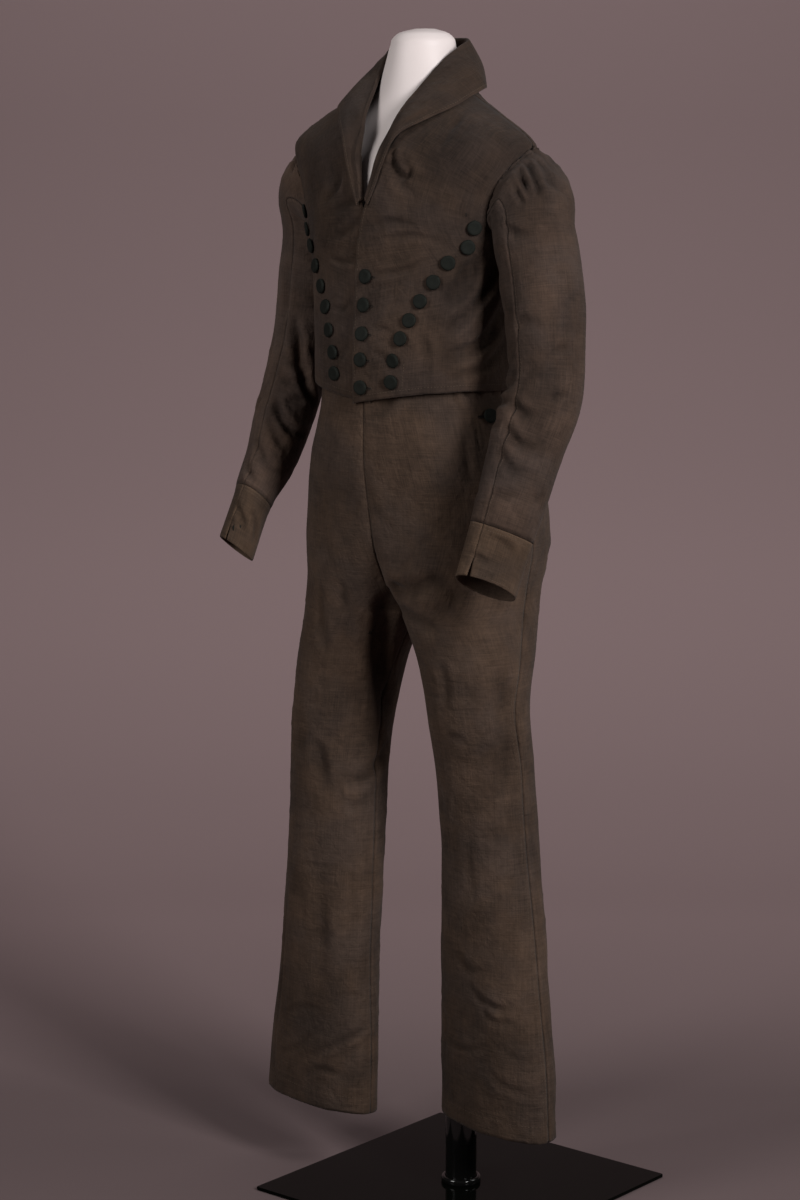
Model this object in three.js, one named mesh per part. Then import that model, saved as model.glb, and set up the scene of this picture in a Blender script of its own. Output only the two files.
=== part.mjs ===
// A man's two-piece linen suit of the 1830s cut on a limbless dress form, its pole and its base plate.
// Millimetres, +Z up. The origin is the centre of the base plate's underside, the pole stands on it,
// and the wearer faces -Y with the left arm on +X. The cloth is a wall that follows the cut of each piece.
import * as THREE from 'three';

// ---- driving sizes ----
const MID = -78;            // x of the suit's middle plane; the pole runs up inside the left trouser leg
const CLOTH = 1.5;          // wall of every cloth piece
const SEAM = 0.3;           // gap between two cut edges sewn together
const LAYER = 1.0;          // clearance between two layers of cloth
const LIFT = 22;            // heights in the tables of the suit and form are from a level this far above the plate's underside
const PLATE = { side: 420, thick: 5 };
const POLE = { radius: 22.5, bottom: 5.3, top: 929.7 };
const RING = { inner: 23.1, outer: 28.5, bottom: 5.3, height: 9 };
const BUTTON = { radius: 10, thick: 4.2 };
const SMALL_BUTTON = { radius: 6.5, thick: 3 };
const WRAP = 15;            // the left front runs this far past the centre line
const ARM_TOP = 1466, UNDERARM = 1336, SIDE_ANGLE = -12;

// ---- the jacket's body: one row for each height, seen from above ----
// half: half width. front, back: depth either side of the line y = mid. square: 2 is an ellipse, less is pointed
// at the side, as the back half is where it slopes away under the shoulder seam.
const BODY = [
  { z: 1105, half: 149, front: 126, back: 108, mid: 0, square: 2.35, squareBack: 2.35 },
  { z: 1133, half: 148, front: 127, back: 109, mid: 0, square: 2.4, squareBack: 2.4 },
  { z: 1210, half: 149, front: 126, back: 112, mid: 0, square: 2.5, squareBack: 2.4 },
  { z: 1270, half: 158, front: 120, back: 120, mid: 0, square: 2.4, squareBack: 2.3 },
  { z: 1330, half: 165, front: 118, back: 128, mid: 0, square: 2.4, squareBack: 2.2 },
  { z: 1380, half: 174, front: 119, back: 132, mid: -1, square: 2.3, squareBack: 2.05 },
  { z: 1420, half: 189, front: 113, back: 131, mid: -3, square: 2.2, squareBack: 1.8 },
  { z: 1464, half: 203, front: 99, back: 122, mid: -8, square: 2.2, squareBack: 1.5 },
  { z: 1507, half: 150, front: 70, back: 98, mid: -8, square: 2.2, squareBack: 1.42 },
  { z: 1530, half: 108, front: 56, back: 84, mid: -6, square: 2.15, squareBack: 1.5 },
  { z: 1550, half: 70, front: 48, back: 74, mid: -4, square: 2.1, squareBack: 2.0 },
];
// The neckline, as an angle round the body for each height: 0 is the shoulder seam, 90 the centre front.
const NECK_FRONT = [
  { z: 1382, angle: 90 }, { z: 1410, angle: 87.2 }, { z: 1440, angle: 84.4 }, { z: 1470, angle: 81 },
  { z: 1500, angle: 75 }, { z: 1525, angle: 64 }, { z: 1540, angle: 40 }, { z: 1546.5, angle: 0 },
];
const NECK_BACK = [{ angle: -90, z: 1538 }, { angle: -60, z: 1540 }, { angle: -30, z: 1544 }, { angle: 0, z: 1546.5 }];
// The armhole, from the side seam forward and up to the shoulder point, and the same behind.
const ARM_FRONT = [
  { t: 0, angle: -12, z: 1336 }, { t: 0.16, angle: 4, z: 1338 }, { t: 0.32, angle: 16, z: 1349 },
  { t: 0.52, angle: 23, z: 1376 }, { t: 0.72, angle: 22.5, z: 1412 }, { t: 0.88, angle: 14, z: 1446 },
  { t: 1, angle: 0, z: 1466 },
];
const ARM_BACK = [
  { t: 0, angle: -12, z: 1336 }, { t: 0.16, angle: -24, z: 1346 }, { t: 0.34, angle: -33, z: 1370 },
  { t: 0.54, angle: -36, z: 1402 }, { t: 0.74, angle: -30, z: 1432 }, { t: 0.9, angle: -15, z: 1456 },
  { t: 1, angle: 0, z: 1466 },
];
// The front edge of the left front past the centre line, and the hem of both fronts.
const EDGE = [
  { z: 1105, wrap: 15 }, { z: 1300, wrap: 15 }, { z: 1345, wrap: 10 }, { z: 1370, wrap: 3 }, { z: 1382, wrap: 0 },
];
const HEM = [
  { angle: -90, z: 1131 }, { angle: 0, z: 1135 }, { angle: 40, z: 1136 }, { angle: 62, z: 1132 },
  { angle: 78, z: 1126 }, { angle: 88, z: 1120 }, { angle: 97, z: 1112 },
];

// ---- sleeves: one row for each section down the arm, x outward from the middle plane ----
// wide, flat: half axes of the section. turn: its long axis, outward and back from the arm's outer side.
// lean: how far the section's plane runs on down the arm on one side of it.
const SLEEVE_LEFT = [
  { k: 0, x: 186, y: 4, z: 1402, wide: 61, flat: 61, turn: 0, lean: 0 },
  { k: 1, x: 192, y: 0, z: 1397, wide: 57, flat: 62, turn: 5, lean: 0 },
  { k: 2, x: 200, y: -6, z: 1382, wide: 57, flat: 57, turn: 15, lean: 0 },
  { k: 3, x: 206, y: -12, z: 1358, wide: 55, flat: 52, turn: 30, lean: 0 },
  { k: 4, x: 215, y: -18, z: 1325, wide: 58, flat: 47, turn: 40, lean: 0 },
  { k: 5, x: 229, y: -25, z: 1270, wide: 59, flat: 46, turn: 40, lean: 0 },
  { k: 6, x: 238, y: -31, z: 1215, wide: 57, flat: 43, turn: 40, lean: 0 },
  { k: 7, x: 244, y: -37, z: 1165, wide: 55, flat: 41, turn: 40, lean: 0 },
  { k: 8, x: 245, y: -48, z: 1120, wide: 53, flat: 39, turn: 40, lean: 0 },
  { k: 9, x: 242, y: -67, z: 1074, wide: 49, flat: 36, turn: 40, lean: 0 },
  { k: 10, x: 240, y: -90, z: 1020, wide: 46, flat: 32, turn: 40, lean: 1 },
  { k: 11, x: 236, y: -115, z: 958, wide: 43, flat: 28, turn: 40, lean: 3 },
  { k: 12, x: 231, y: -143, z: 886, wide: 42, flat: 26, turn: 40, lean: 7.7 },
];
const SLEEVE_RIGHT = [
  { k: 0, x: 186, y: 4, z: 1402, wide: 64, flat: 62, turn: 0, lean: 0 },
  { k: 1, x: 193, y: 5, z: 1398, wide: 59, flat: 61, turn: 5, lean: 0 },
  { k: 2, x: 201, y: 9, z: 1384, wide: 57, flat: 55, turn: 15, lean: 0 },
  { k: 3, x: 207, y: 14, z: 1358, wide: 58, flat: 48, turn: 30, lean: 0 },
  { k: 4, x: 214, y: 19, z: 1325, wide: 59, flat: 45, turn: 40, lean: 0 },
  { k: 5, x: 224, y: 21, z: 1270, wide: 58, flat: 44, turn: 40, lean: 0 },
  { k: 6, x: 230, y: 19, z: 1215, wide: 56, flat: 42, turn: 40, lean: 0 },
  { k: 7, x: 236, y: 11, z: 1165, wide: 55, flat: 41, turn: 40, lean: 1 },
  { k: 8, x: 238, y: -2, z: 1120, wide: 53, flat: 42, turn: 40, lean: 3 },
  { k: 9, x: 240, y: -21, z: 1074, wide: 50, flat: 41, turn: 40, lean: 5 },
  { k: 10, x: 241, y: -47, z: 1020, wide: 47, flat: 36, turn: 40, lean: 7 },
  { k: 11, x: 244, y: -83, z: 962, wide: 43, flat: 28, turn: 40, lean: 9 },
  { k: 12, x: 245, y: -119, z: 891, wide: 41, flat: 27, turn: 40, lean: 11.4 },
];
const CUFF_K = 11;          // the cuff is sewn on at this row and ends at the last
const CUFF_SLIT = 3.2;      // half opening of the notch at the cuff's lower edge

// ---- trousers: hips, then each leg; wrapFront and wrapBack turn half an oval into a whole leg at the crotch ----
const HIPS = [
  { z: 815, half: 182, front: 102, back: 88, mid: 4, wrapFront: 180, wrapBack: 180 },
  { z: 835, half: 181, front: 108, back: 94, mid: 8, wrapFront: 152, wrapBack: 138 },
  { z: 855, half: 181, front: 114, back: 101, mid: 12, wrapFront: 136, wrapBack: 117 },
  { z: 880, half: 184, front: 119, back: 115, mid: 15, wrapFront: 123, wrapBack: 104 },
  { z: 909, half: 188, front: 123, back: 127, mid: 17, wrapFront: 110, wrapBack: 97 },
  { z: 946, half: 189, front: 126, back: 130, mid: 17, wrapFront: 98, wrapBack: 91 },
  { z: 988, half: 185, front: 130, back: 128, mid: 14, wrapFront: 90, wrapBack: 90 },
  { z: 1032, half: 174, front: 132, back: 123, mid: 10, wrapFront: 90, wrapBack: 90 },
  { z: 1077, half: 158, front: 129, back: 116, mid: 6, wrapFront: 90, wrapBack: 90 },
  { z: 1113, half: 146, front: 124, back: 108, mid: 2, wrapFront: 90, wrapBack: 90 },
  { z: 1150, half: 143, front: 122.5, back: 104.5, mid: 0, wrapFront: 90, wrapBack: 90 },
];
const CROTCH = 815, TROUSER_TOP = 1150;
// x: centre out from the middle plane. half, front, back: half axes. turn: degrees about Z, outer end forward if negative.
const LEG_LEFT = [
  { z: 90, x: 153, mid: -9, half: 108, front: 49, back: 48, turn: -11 },
  { z: 200, x: 150, mid: -9, half: 102, front: 50, back: 50, turn: -10 },
  { z: 300, x: 142, mid: -5, half: 92, front: 53, back: 53, turn: -9 },
  { z: 400, x: 131, mid: 3, half: 81, front: 56, back: 57, turn: -7 },
  { z: 500, x: 121, mid: 8, half: 71, front: 60, back: 62, turn: -5 },
  { z: 600, x: 118, mid: 1, half: 68, front: 64, back: 65, turn: -3 },
  { z: 690, x: 115, mid: -13, half: 68, front: 72, back: 74, turn: -1 },
  { z: 760, x: 108, mid: -7, half: 78, front: 87, back: 82, turn: 0 },
  { z: 815, x: 91, mid: 4, half: 91, front: 102, back: 88, turn: 0 },
];
const LEG_RIGHT = [
  { z: 84, x: 130, mid: -68, half: 106, front: 42, back: 42, turn: 7 },
  { z: 200, x: 126, mid: -62, half: 98, front: 46, back: 46, turn: 7 },
  { z: 300, x: 124, mid: -56, half: 86, front: 50, back: 50, turn: 6 },
  { z: 400, x: 122, mid: -48, half: 80, front: 55, back: 55, turn: 5 },
  { z: 500, x: 122, mid: -40, half: 76, front: 60, back: 60, turn: 4 },
  { z: 600, x: 123, mid: -32, half: 73, front: 64, back: 64, turn: 3 },
  { z: 690, x: 118, mid: -22, half: 75, front: 72, back: 74, turn: 1 },
  { z: 760, x: 109, mid: -8, half: 78, front: 87, back: 82, turn: 0 },
  { z: 815, x: 91, mid: 4, half: 91, front: 102, back: 88, turn: 0 },
];
const TROUSER_ROWS = [1150, 1113, 1077, 1032, 988, 946, 909, 880, 856, 835, 815, 788, 750, 690, 600, 500, 400, 300, 200, 90];
const LEG_SQUARE = 2.3, HIP_SQUARE = 2.15;
const BAND = { bottom: 1150.4, top: 1184 };

// ---- collar: one row from the centre back round to the foot of the V, for the left half ----
// foot: on the neckline. fold: the roll line. edge: the free edge. x out from the middle plane.
const COLLAR = [
  { t: 0, fx: 0, fy: 67, fz: 1612, ex: 0, ey: 98, ez: 1543 },
  { t: 0.14, fx: 33, fy: 58, fz: 1611, ex: 39, ey: 86, ez: 1543 },
  { t: 0.28, fx: 55, fy: 34, fz: 1607, ex: 75, ey: 52, ez: 1544 },
  { t: 0.4, fx: 60, fy: 6, fz: 1597, ex: 105, ey: 6, ez: 1541 },
  { t: 0.5, fx: 54, fy: -16, fz: 1581, ex: 107, ey: -42, ez: 1525 },
  { t: 0.62, fx: 41, fy: -52, fz: 1545, ex: 78, ey: -84, ez: 1502 },
  { t: 0.74, fx: 29, fy: -88, fz: 1503, ex: 48, ey: -112, ez: 1478 },
  { t: 0.84, fx: 19, fy: -107, fz: 1458, ex: 32, ey: -121, ez: 1441 },
  { t: 0.93, fx: 10, fy: -116, fz: 1418, ex: 19, ey: -124.5, ez: 1406 },
  { t: 1, fx: 2.5, fy: -121, fz: 1388, ex: 7, ey: -126, ez: 1381 },
];
// ---- buttons: the centre row by height, and the fanned rows by place on the front ----
const CENTRE_BUTTONS = [{ x: 5, z: 1290 }, { x: 4, z: 1251 }, { x: 4, z: 1212 }, { x: 2, z: 1177 }, { x: 2, z: 1139 }];
const FAN_BUTTONS = [
  { x: 149, left: 1358, right: 1374 }, { x: 142, left: 1332, right: 1349 }, { x: 122, left: 1311, right: 1327 },
  { x: 105, left: 1285, right: 1300 }, { x: 89, left: 1259, right: 1273 }, { x: 76, left: 1233, right: 1245 },
  { x: 65, left: 1208, right: 1214 }, { x: 54, left: 1178, right: 1184 }, { x: 51, left: 1149, right: 1155 },
];
const HIP_BUTTON = { angle: 13, z: 1101 };

// ---- the dress form, a smooth closed body inside the cloth ----
const FORM = [
  { z: 908, half: 150, front: 88, back: 92, mid: 17, square: 2 },
  { z: 916, half: 166, front: 104, back: 108, mid: 17, square: 2.1 },
  { z: 946, half: 176, front: 113, back: 117, mid: 17, square: 2.1 },
  { z: 988, half: 173, front: 117, back: 116, mid: 14, square: 2.1 },
  { z: 1032, half: 163, front: 119, back: 111, mid: 10, square: 2.1 },
  { z: 1077, half: 148, front: 117, back: 105, mid: 6, square: 2.1 },
  { z: 1113, half: 138, front: 114, back: 99, mid: 2, square: 2.15 },
  { z: 1150, half: 136, front: 115, back: 97, mid: 0, square: 2.2 },
  { z: 1210, half: 138, front: 115, back: 102, mid: 0, square: 2.4 },
  { z: 1270, half: 149, front: 111, back: 111, mid: 0, square: 2.4 },
  { z: 1330, half: 157, front: 110, back: 119, mid: 0, square: 2.4 },
  { z: 1380, half: 165, front: 109, back: 122, mid: -1, square: 2.3 },
  { z: 1420, half: 170, front: 101, back: 119, mid: -3, square: 2.2 },
  { z: 1452, half: 160, front: 86, back: 108, mid: -5, square: 2.2 },
  { z: 1480, half: 132, front: 69, back: 93, mid: -4, square: 2.15 },
  { z: 1505, half: 100, front: 62, back: 80, mid: -1, square: 2.1 },
  { z: 1526, half: 76, front: 60, back: 66, mid: 3, square: 2.05 },
  { z: 1548, half: 63, front: 58, back: 55, mid: 6, square: 2 },
  { z: 1575, half: 54, front: 55, back: 47, mid: 8, square: 2 },
  { z: 1600, half: 46, front: 51, back: 39, mid: 9, square: 2 },
  { z: 1613, half: 41, front: 45, back: 35, mid: 9, square: 2 },
  { z: 1620, half: 30, front: 33, back: 25, mid: 9, square: 2 },
  { z: 1624, half: 14, front: 14, back: 14, mid: 9, square: 2 },
];

// ---- materials ----
const linen = new THREE.MeshStandardMaterial({ color: 0x6b5b4d, roughness: 0.92, metalness: 0 });
const horn = new THREE.MeshStandardMaterial({ color: 0x23251f, roughness: 0.45, metalness: 0 });
const formWhite = new THREE.MeshStandardMaterial({ color: 0xe9dcd6, roughness: 0.6, metalness: 0 });
const blackGloss = new THREE.MeshStandardMaterial({ color: 0x0c0b0a, roughness: 0.12, metalness: 0.1 });

// ---- small helpers ----
const rad = (d) => (d * Math.PI) / 180;
const mix = (a, b, t) => a + (b - a) * t;
const smooth = (a, b, x) => { const t = Math.min(1, Math.max(0, (x - a) / (b - a))); return t * t * (3 - 2 * t); };
const sub = (a, b) => [a[0] - b[0], a[1] - b[1], a[2] - b[2]];
const along = (a, d, s) => [a[0] + d[0] * s, a[1] + d[1] * s, a[2] + d[2] * s];
const cross = (a, b) => [a[1] * b[2] - a[2] * b[1], a[2] * b[0] - a[0] * b[2], a[0] * b[1] - a[1] * b[0]];
const dot = (a, b) => a[0] * b[0] + a[1] * b[1] + a[2] * b[2];
const unit = (a) => { const l = Math.hypot(a[0], a[1], a[2]) || 1; return [a[0] / l, a[1] / l, a[2] / l]; };

// A smooth curve through one named column of a table whose rows rise in the column `by`.
function column(table, by, name) {
  const xs = table.map((r) => r[by]), ys = table.map((r) => r[name]), n = xs.length;
  const slope = (i) => (ys[i + 1] - ys[i]) / (xs[i + 1] - xs[i]);
  const m = ys.map((_, i) => {
    if (i === 0) return slope(0);
    if (i === n - 1) return slope(n - 2);
    const a = slope(i - 1), b = slope(i), h0 = xs[i] - xs[i - 1], h1 = xs[i + 1] - xs[i];
    return a * b <= 0 ? 0 : (a * h1 + b * h0) / (h0 + h1);
  });
  return (x) => {
    if (x <= xs[0]) return ys[0];
    if (x >= xs[n - 1]) return ys[n - 1];
    let i = 0;
    while (x > xs[i + 1]) i++;
    const h = xs[i + 1] - xs[i], t = (x - xs[i]) / h, t2 = t * t, t3 = t2 * t;
    return (2 * t3 - 3 * t2 + 1) * ys[i] + (t3 - 2 * t2 + t) * h * m[i] + (3 * t2 - 2 * t3) * ys[i + 1] + (t3 - t2) * h * m[i + 1];
  };
}
const columns = (table, by, ...names) => Object.fromEntries(names.map((n) => [n, column(table, by, n)]));
const power = (v, n) => Math.sign(v) * Math.pow(Math.abs(v), 2 / n);

// ---- the jacket's body surface: angle round it and height give a point; its normal points out ----
const bodyOf = columns(BODY, 'z', 'half', 'front', 'back', 'mid', 'square', 'squareBack');
function bodyPoint(angle, z) {
  const c = Math.cos(rad(angle)), s = Math.sin(rad(angle)), n = s > 0 ? bodyOf.square(z) : bodyOf.squareBack(z);
  return [MID + bodyOf.half(z) * power(c, n), bodyOf.mid(z) - (s > 0 ? bodyOf.front(z) : bodyOf.back(z)) * power(s, n), z];
}
function bodyNormal(angle, z) {
  const du = sub(bodyPoint(angle + 0.5, z), bodyPoint(angle - 0.5, z));
  const dv = sub(bodyPoint(angle, z + 1), bodyPoint(angle, z - 1));
  return unit(cross(dv, du));
}
const bodyAt = (angle, z, out) => along(bodyPoint(angle, z), bodyNormal(angle, z), out);
// The angle at which the body has a given x out from the middle plane, on its front.
function frontAngle(x, z) {
  const q = Math.min(1, Math.abs(x) / bodyOf.half(z));
  const a = (Math.acos(Math.pow(q, bodyOf.square(z) / 2)) * 180) / Math.PI;
  return x >= 0 ? a : 180 - a;
}
const hemZ = column(HEM, 'angle', 'z');
const wrapAt = column(EDGE, 'z', 'wrap');
const neckFront = column(NECK_FRONT, 'z', 'angle');
const neckBack = column(NECK_BACK, 'angle', 'z');
const armFront = columns(ARM_FRONT, 't', 'angle', 'z'), armBack = columns(ARM_BACK, 't', 'angle', 'z');

// A wall over a grid of points: rows v, columns u. `at(u, v, out)` gives the point moved out by `out`.
// Both faces, four edges; `flip` turns it inside out when u x v points in.
function wall(at, us, vs, low, high, flip) {
  const nu = us.length, nv = vs.length, pos = [], idx = [];
  for (const side of [low, high]) for (const v of vs) for (const u of us) pos.push(...at(u, v, typeof side === 'function' ? side(u, v) : side));
  const id = (k, i, j) => k * nu * nv + j * nu + i;
  const quad = (a, b, c, d) => (flip ? idx.push(a, c, b, a, d, c) : idx.push(a, b, c, a, c, d));
  for (let j = 0; j < nv - 1; j++) for (let i = 0; i < nu - 1; i++) {
    quad(id(1, i, j), id(1, i + 1, j), id(1, i + 1, j + 1), id(1, i, j + 1));
    quad(id(0, i, j), id(0, i, j + 1), id(0, i + 1, j + 1), id(0, i + 1, j));
  }
  for (let i = 0; i < nu - 1; i++) {
    quad(id(0, i, 0), id(0, i + 1, 0), id(1, i + 1, 0), id(1, i, 0));
    quad(id(0, i + 1, nv - 1), id(0, i, nv - 1), id(1, i, nv - 1), id(1, i + 1, nv - 1));
  }
  for (let j = 0; j < nv - 1; j++) {
    quad(id(0, 0, j + 1), id(0, 0, j), id(1, 0, j), id(1, 0, j + 1));
    quad(id(0, nu - 1, j), id(0, nu - 1, j + 1), id(1, nu - 1, j + 1), id(1, nu - 1, j));
  }
  return solid(pos, idx);
}
function solid(pos, idx) {
  const g = new THREE.BufferGeometry();
  g.setAttribute('position', new THREE.Float32BufferAttribute(pos, 3));
  g.setIndex(idx);
  g.computeVertexNormals();
  return g;
}
const whole = new THREE.Group(), worn = new THREE.Group();
worn.position.z = LIFT;
whole.add(worn);
function add(name, geometry, material, group = worn) {
  const m = new THREE.Mesh(geometry, material);
  m.name = name;
  group.add(m);
  return m;
}
const steps = (n, a = 0, b = 1) => Array.from({ length: n + 1 }, (_, i) => mix(a, b, i / n));

// ---- jacket panels: a grid whose four edges are the cut ----
// A panel is ruled in angle and height between its front (or back) edge and its side edge, bottom v 0 to top v 1.
// Rows below the armhole end on the side seam, rows above it on the armhole, and the top row is the shoulder seam.
const SIDE_ROWS = 5, ARM_ROWS = 8, V_ARM = SIDE_ROWS / (SIDE_ROWS + ARM_ROWS), BODY_COLS = 12;
const sideEdge = (arm, hemAngle) => (v) => v <= V_ARM
  ? [SIDE_ANGLE, mix(hemZ(hemAngle), UNDERARM, v / V_ARM)]
  : [arm.angle((v - V_ARM) / (1 - V_ARM)), arm.z((v - V_ARM) / (1 - V_ARM))];
const NECK_TOP = 1546.5;
// shoulder seam, from the neck point to the shoulder point
const shoulder = (u) => [0, mix(NECK_TOP, ARM_TOP, u)];
// The edge along the centre front (its distance past the centre line is wrap) and up the neckline.
function frontEdge(wrapFn, foot) {
  return (v) => {
    const vNeck = 0.62;
    if (v <= vNeck) {
      const z = mix(foot, 1382, v / vNeck);
      return [frontAngle(-wrapFn(z), z), z];
    }
    const t = (v - vNeck) / (1 - vNeck), z = mix(1382, NECK_TOP, 1 - Math.pow(1 - t, 1.25));
    return [neckFront(z), z];
  };
}
const backEdge = (v) => {
  const vNeck = 0.8;
  if (v <= vNeck) return [-90, mix(hemZ(-90), neckBack(-90), v / vNeck)];
  const t = (v - vNeck) / (1 - vNeck), a = mix(-90, 0, t);
  return [a, neckBack(a)];
};
// Coons patch in angle and height between a centre edge (u 0) and a side edge (u 1).
function cut(centre, side, bottom, top) {
  const c00 = centre(0), c10 = side(0), c01 = centre(1), c11 = side(1);
  return (u, v) => [0, 1].map((k) =>
    (1 - v) * bottom(u)[k] + v * top(u)[k] + (1 - u) * centre(v)[k] + u * side(v)[k]
    - ((1 - u) * (1 - v) * c00[k] + u * (1 - v) * c10[k] + (1 - u) * v * c01[k] + u * v * c11[k]));
}
const FOOT_LEFT = 1113, FOOT_RIGHT = 1121;
const leftFront = (() => {
  const centre = frontEdge(wrapAt, FOOT_LEFT), side = sideEdge(armFront, 0), a0 = centre(0)[0];
  const bottom = (u) => { const a = mix(a0, SIDE_ANGLE, u); return [a, mix(u === 0 ? FOOT_LEFT : hemZ(a), hemZ(a), u)]; };
  return cut(centre, side, bottom, shoulder);
})();
const rightFront = (() => {           // in mirrored angles; it stops short of the centre, under the left front
  const centre = frontEdge((z) => -Math.min(WRAP, wrapAt(z) + 1), FOOT_RIGHT), side = sideEdge(armFront, 0), a0 = centre(0)[0];
  // it runs under the left front by WRAP, so its edge lies past the centre line on the wearer's left
  const under = (v) => { const [a, z] = centre(v); return v <= 0.62 ? [180 - a, z] : [a, z]; };
  const b0 = under(0)[0];
  const bottom = (u) => { const a = mix(b0, SIDE_ANGLE, u); return [a, hemZ(Math.min(a, 90))]; };
  return cut(under, side, bottom, shoulder);
})();
const backCut = (() => {
  const side = sideEdge(armBack, 0);
  const bottom = (u) => { const a = mix(-90, SIDE_ANGLE, u); return [a, hemZ(a)]; };
  const back = backEdge;
  return cut(back, side, bottom, shoulder);
})();

// The left front rises over the right one near the centre; the right front and backs lie on the body surface.
const rise = (angle) => (CLOTH + LAYER) * smooth(73, 84, angle);
const us = steps(BODY_COLS), vs = steps(SIDE_ROWS + ARM_ROWS);
// seam allowance: pull the grid in from its sewn edges by half a seam
const pullIn = (n) => (t, lo, hi) => mix(lo ? n : 0, hi ? 1 - n : 1, t);
const inU = pullIn(0.0011), inV = pullIn(0.0006);
function panelAt(map, mirror, lift) {
  return (u, v, out) => {
    const [angle, z] = map(inU(u, true, true), inV(v, false, true));
    const p = bodyAt(angle, z, out + (lift ? lift(angle) : 0));
    return mirror ? [2 * MID - p[0], p[1], p[2]] : p;
  };
}
add('jacket_front_left', wall(panelAt(leftFront, false, rise), us, vs, -CLOTH, 0, false), linen);
add('jacket_front_right', wall(panelAt(rightFront, true), us, vs, -CLOTH, 0, true), linen);
add('jacket_back_left', wall(panelAt(backCut, false), us, vs, -CLOTH, 0, true), linen);
add('jacket_back_right', wall(panelAt(backCut, true), us, vs, -CLOTH, 0, false), linen);

// A point nearer the body than `gap` moves straight out from the body's axis until it is clear.
function clearOfBody(p, gap) {
  const z = p[2], x = p[0] - MID, y = p[1] - bodyOf.mid(z), n = y < 0 ? bodyOf.square(z) : bodyOf.squareBack(z);
  const half = bodyOf.half(z) + gap, deep = (y < 0 ? bodyOf.front(z) : bodyOf.back(z)) + gap;
  const r = Math.pow(Math.pow(Math.abs(x) / half, n) + Math.pow(Math.abs(y) / deep, n), 1 / n);
  return r >= 1 || r < 0.3 ? p : [MID + x / r, bodyOf.mid(z) + y / r, z];
}

// ---- sleeves ----
// Sections run from the armhole to the cuff; round the section 0 is the top or outer side, 90 the front.
const HALF_COLS = 8;        // columns in each half of the armhole
function sleeveOf(table, mirror) {
  const c = columns(table, 'k', 'x', 'y', 'z', 'wide', 'flat', 'turn', 'lean'), last = table.length - 1, leanAt = (k) => mirror ? mix(220, 194, smooth(11, 12, k)) : mix(-40, -105, smooth(11, 12, k));
  const centre = (k) => [MID + c.x(k), c.y(k), c.z(k)];
  const ring = (k, phi) => {
    const a = centre(Math.max(0, k - 0.05)), b = centre(Math.min(last, k + 0.05)), t0 = unit(sub(b, a));
    // the first sections turn from the armhole's slope to the run of the arm
    const lead = 1 - smooth(0, 3.2, k), t = unit([mix(t0[0], 0.96, lead), mix(t0[1], 0, lead), mix(t0[2], -0.28, lead)]);
    const f = unit(sub([0, -1, 0], [t[0] * -t[1], t[1] * -t[1], t[2] * -t[1]]));
    const o = cross(f, t), w = rad(c.turn(k));
    const ax = along([0, 0, 0], o, Math.cos(w)).map((v, i) => v - f[i] * Math.sin(w));
    const bx = along([0, 0, 0], f, Math.cos(w)).map((v, i) => v + o[i] * Math.sin(w));
    const q = rad(phi) + w, p = centre(k);
    const lean = c.lean(k) * Math.cos(rad(phi - leanAt(k)));
    return p.map((v, i) => v + ax[i] * c.wide(k) * Math.cos(q) + bx[i] * c.flat(k) * Math.sin(q) + t[i] * lean);
  };
  // the armhole itself, just clear of the body panels' outer face
  const hole = (phi) => {
    const h = ((phi % 360) + 360) % 360, front = h <= 180, t = front ? 1 - h / 180 : (h - 180) / 180, arm = front ? armFront : armBack;
    return bodyAt(arm.angle(t), arm.z(t), 0.5);
  };
  const blend = (k, phi) => {
    const w = 1 - smooth(0, 1.6, k), r = ring(k, phi);
    if (w <= 0) return clearOfBody(r, 2);
    const h = hole(phi);
    return clearOfBody(r.map((v, i) => mix(v, h[i], w)), 0.5 + 1.5 * smooth(0, 0.4, k));
  };
  return (k, phi, out) => {
    const p = blend(k, phi), e = 0.02;
    const dk = sub(blend(Math.min(last, k + e), phi), blend(Math.max(0, k - e), phi)), dp = sub(blend(k, phi + 1), blend(k, phi - 1));
    const q = along(p, unit(cross(dk, dp)), out);
    return mirror ? [2 * MID - q[0], q[1], q[2]] : q;
  };
}
const SLEEVE_KS = [0, 0.3, 0.7, 1.2, 1.8, 2.4, 3.1, 4, 5, 6, 6.7, 7.3, 7.9, 8.6, 9.4, 10.2, CUFF_K - 0.006];
const sleeveL = sleeveOf(SLEEVE_LEFT, false), sleeveR = sleeveOf(SLEEVE_RIGHT, true);
const q3 = 0.15;             // degrees each side of a sleeve seam, about half a seam
for (const [side, at, flip] of [['left', sleeveL, false], ['right', sleeveR, true]]) {
  add(`sleeve_top_${side}`, wall((u, v, out) => at(v, u, out), steps(8, -90 + q3, 90 - q3), SLEEVE_KS, -CLOTH, 0, !flip), linen);
  add(`sleeve_under_${side}`, wall((u, v, out) => at(v, u, out), steps(8, 90 + q3, 270 - q3), SLEEVE_KS, -CLOTH, 0, !flip), linen);
  // the cuff: one strip round the wrist, its ends meeting at the front seam with a notch at the lower edge
  const cuffAt = (u, k, out) => at(k, mix(90 + notch(k), 450 - notch(k), u), out);
  const notch = (k) => 0.25 + CUFF_SLIT * smooth(11.55, 12, k);
  add(`cuff_${side}`, wall(cuffAt, steps(16), [CUFF_K, 11.33, 11.66, 12], -1, 1, !flip), linen);
}

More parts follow.
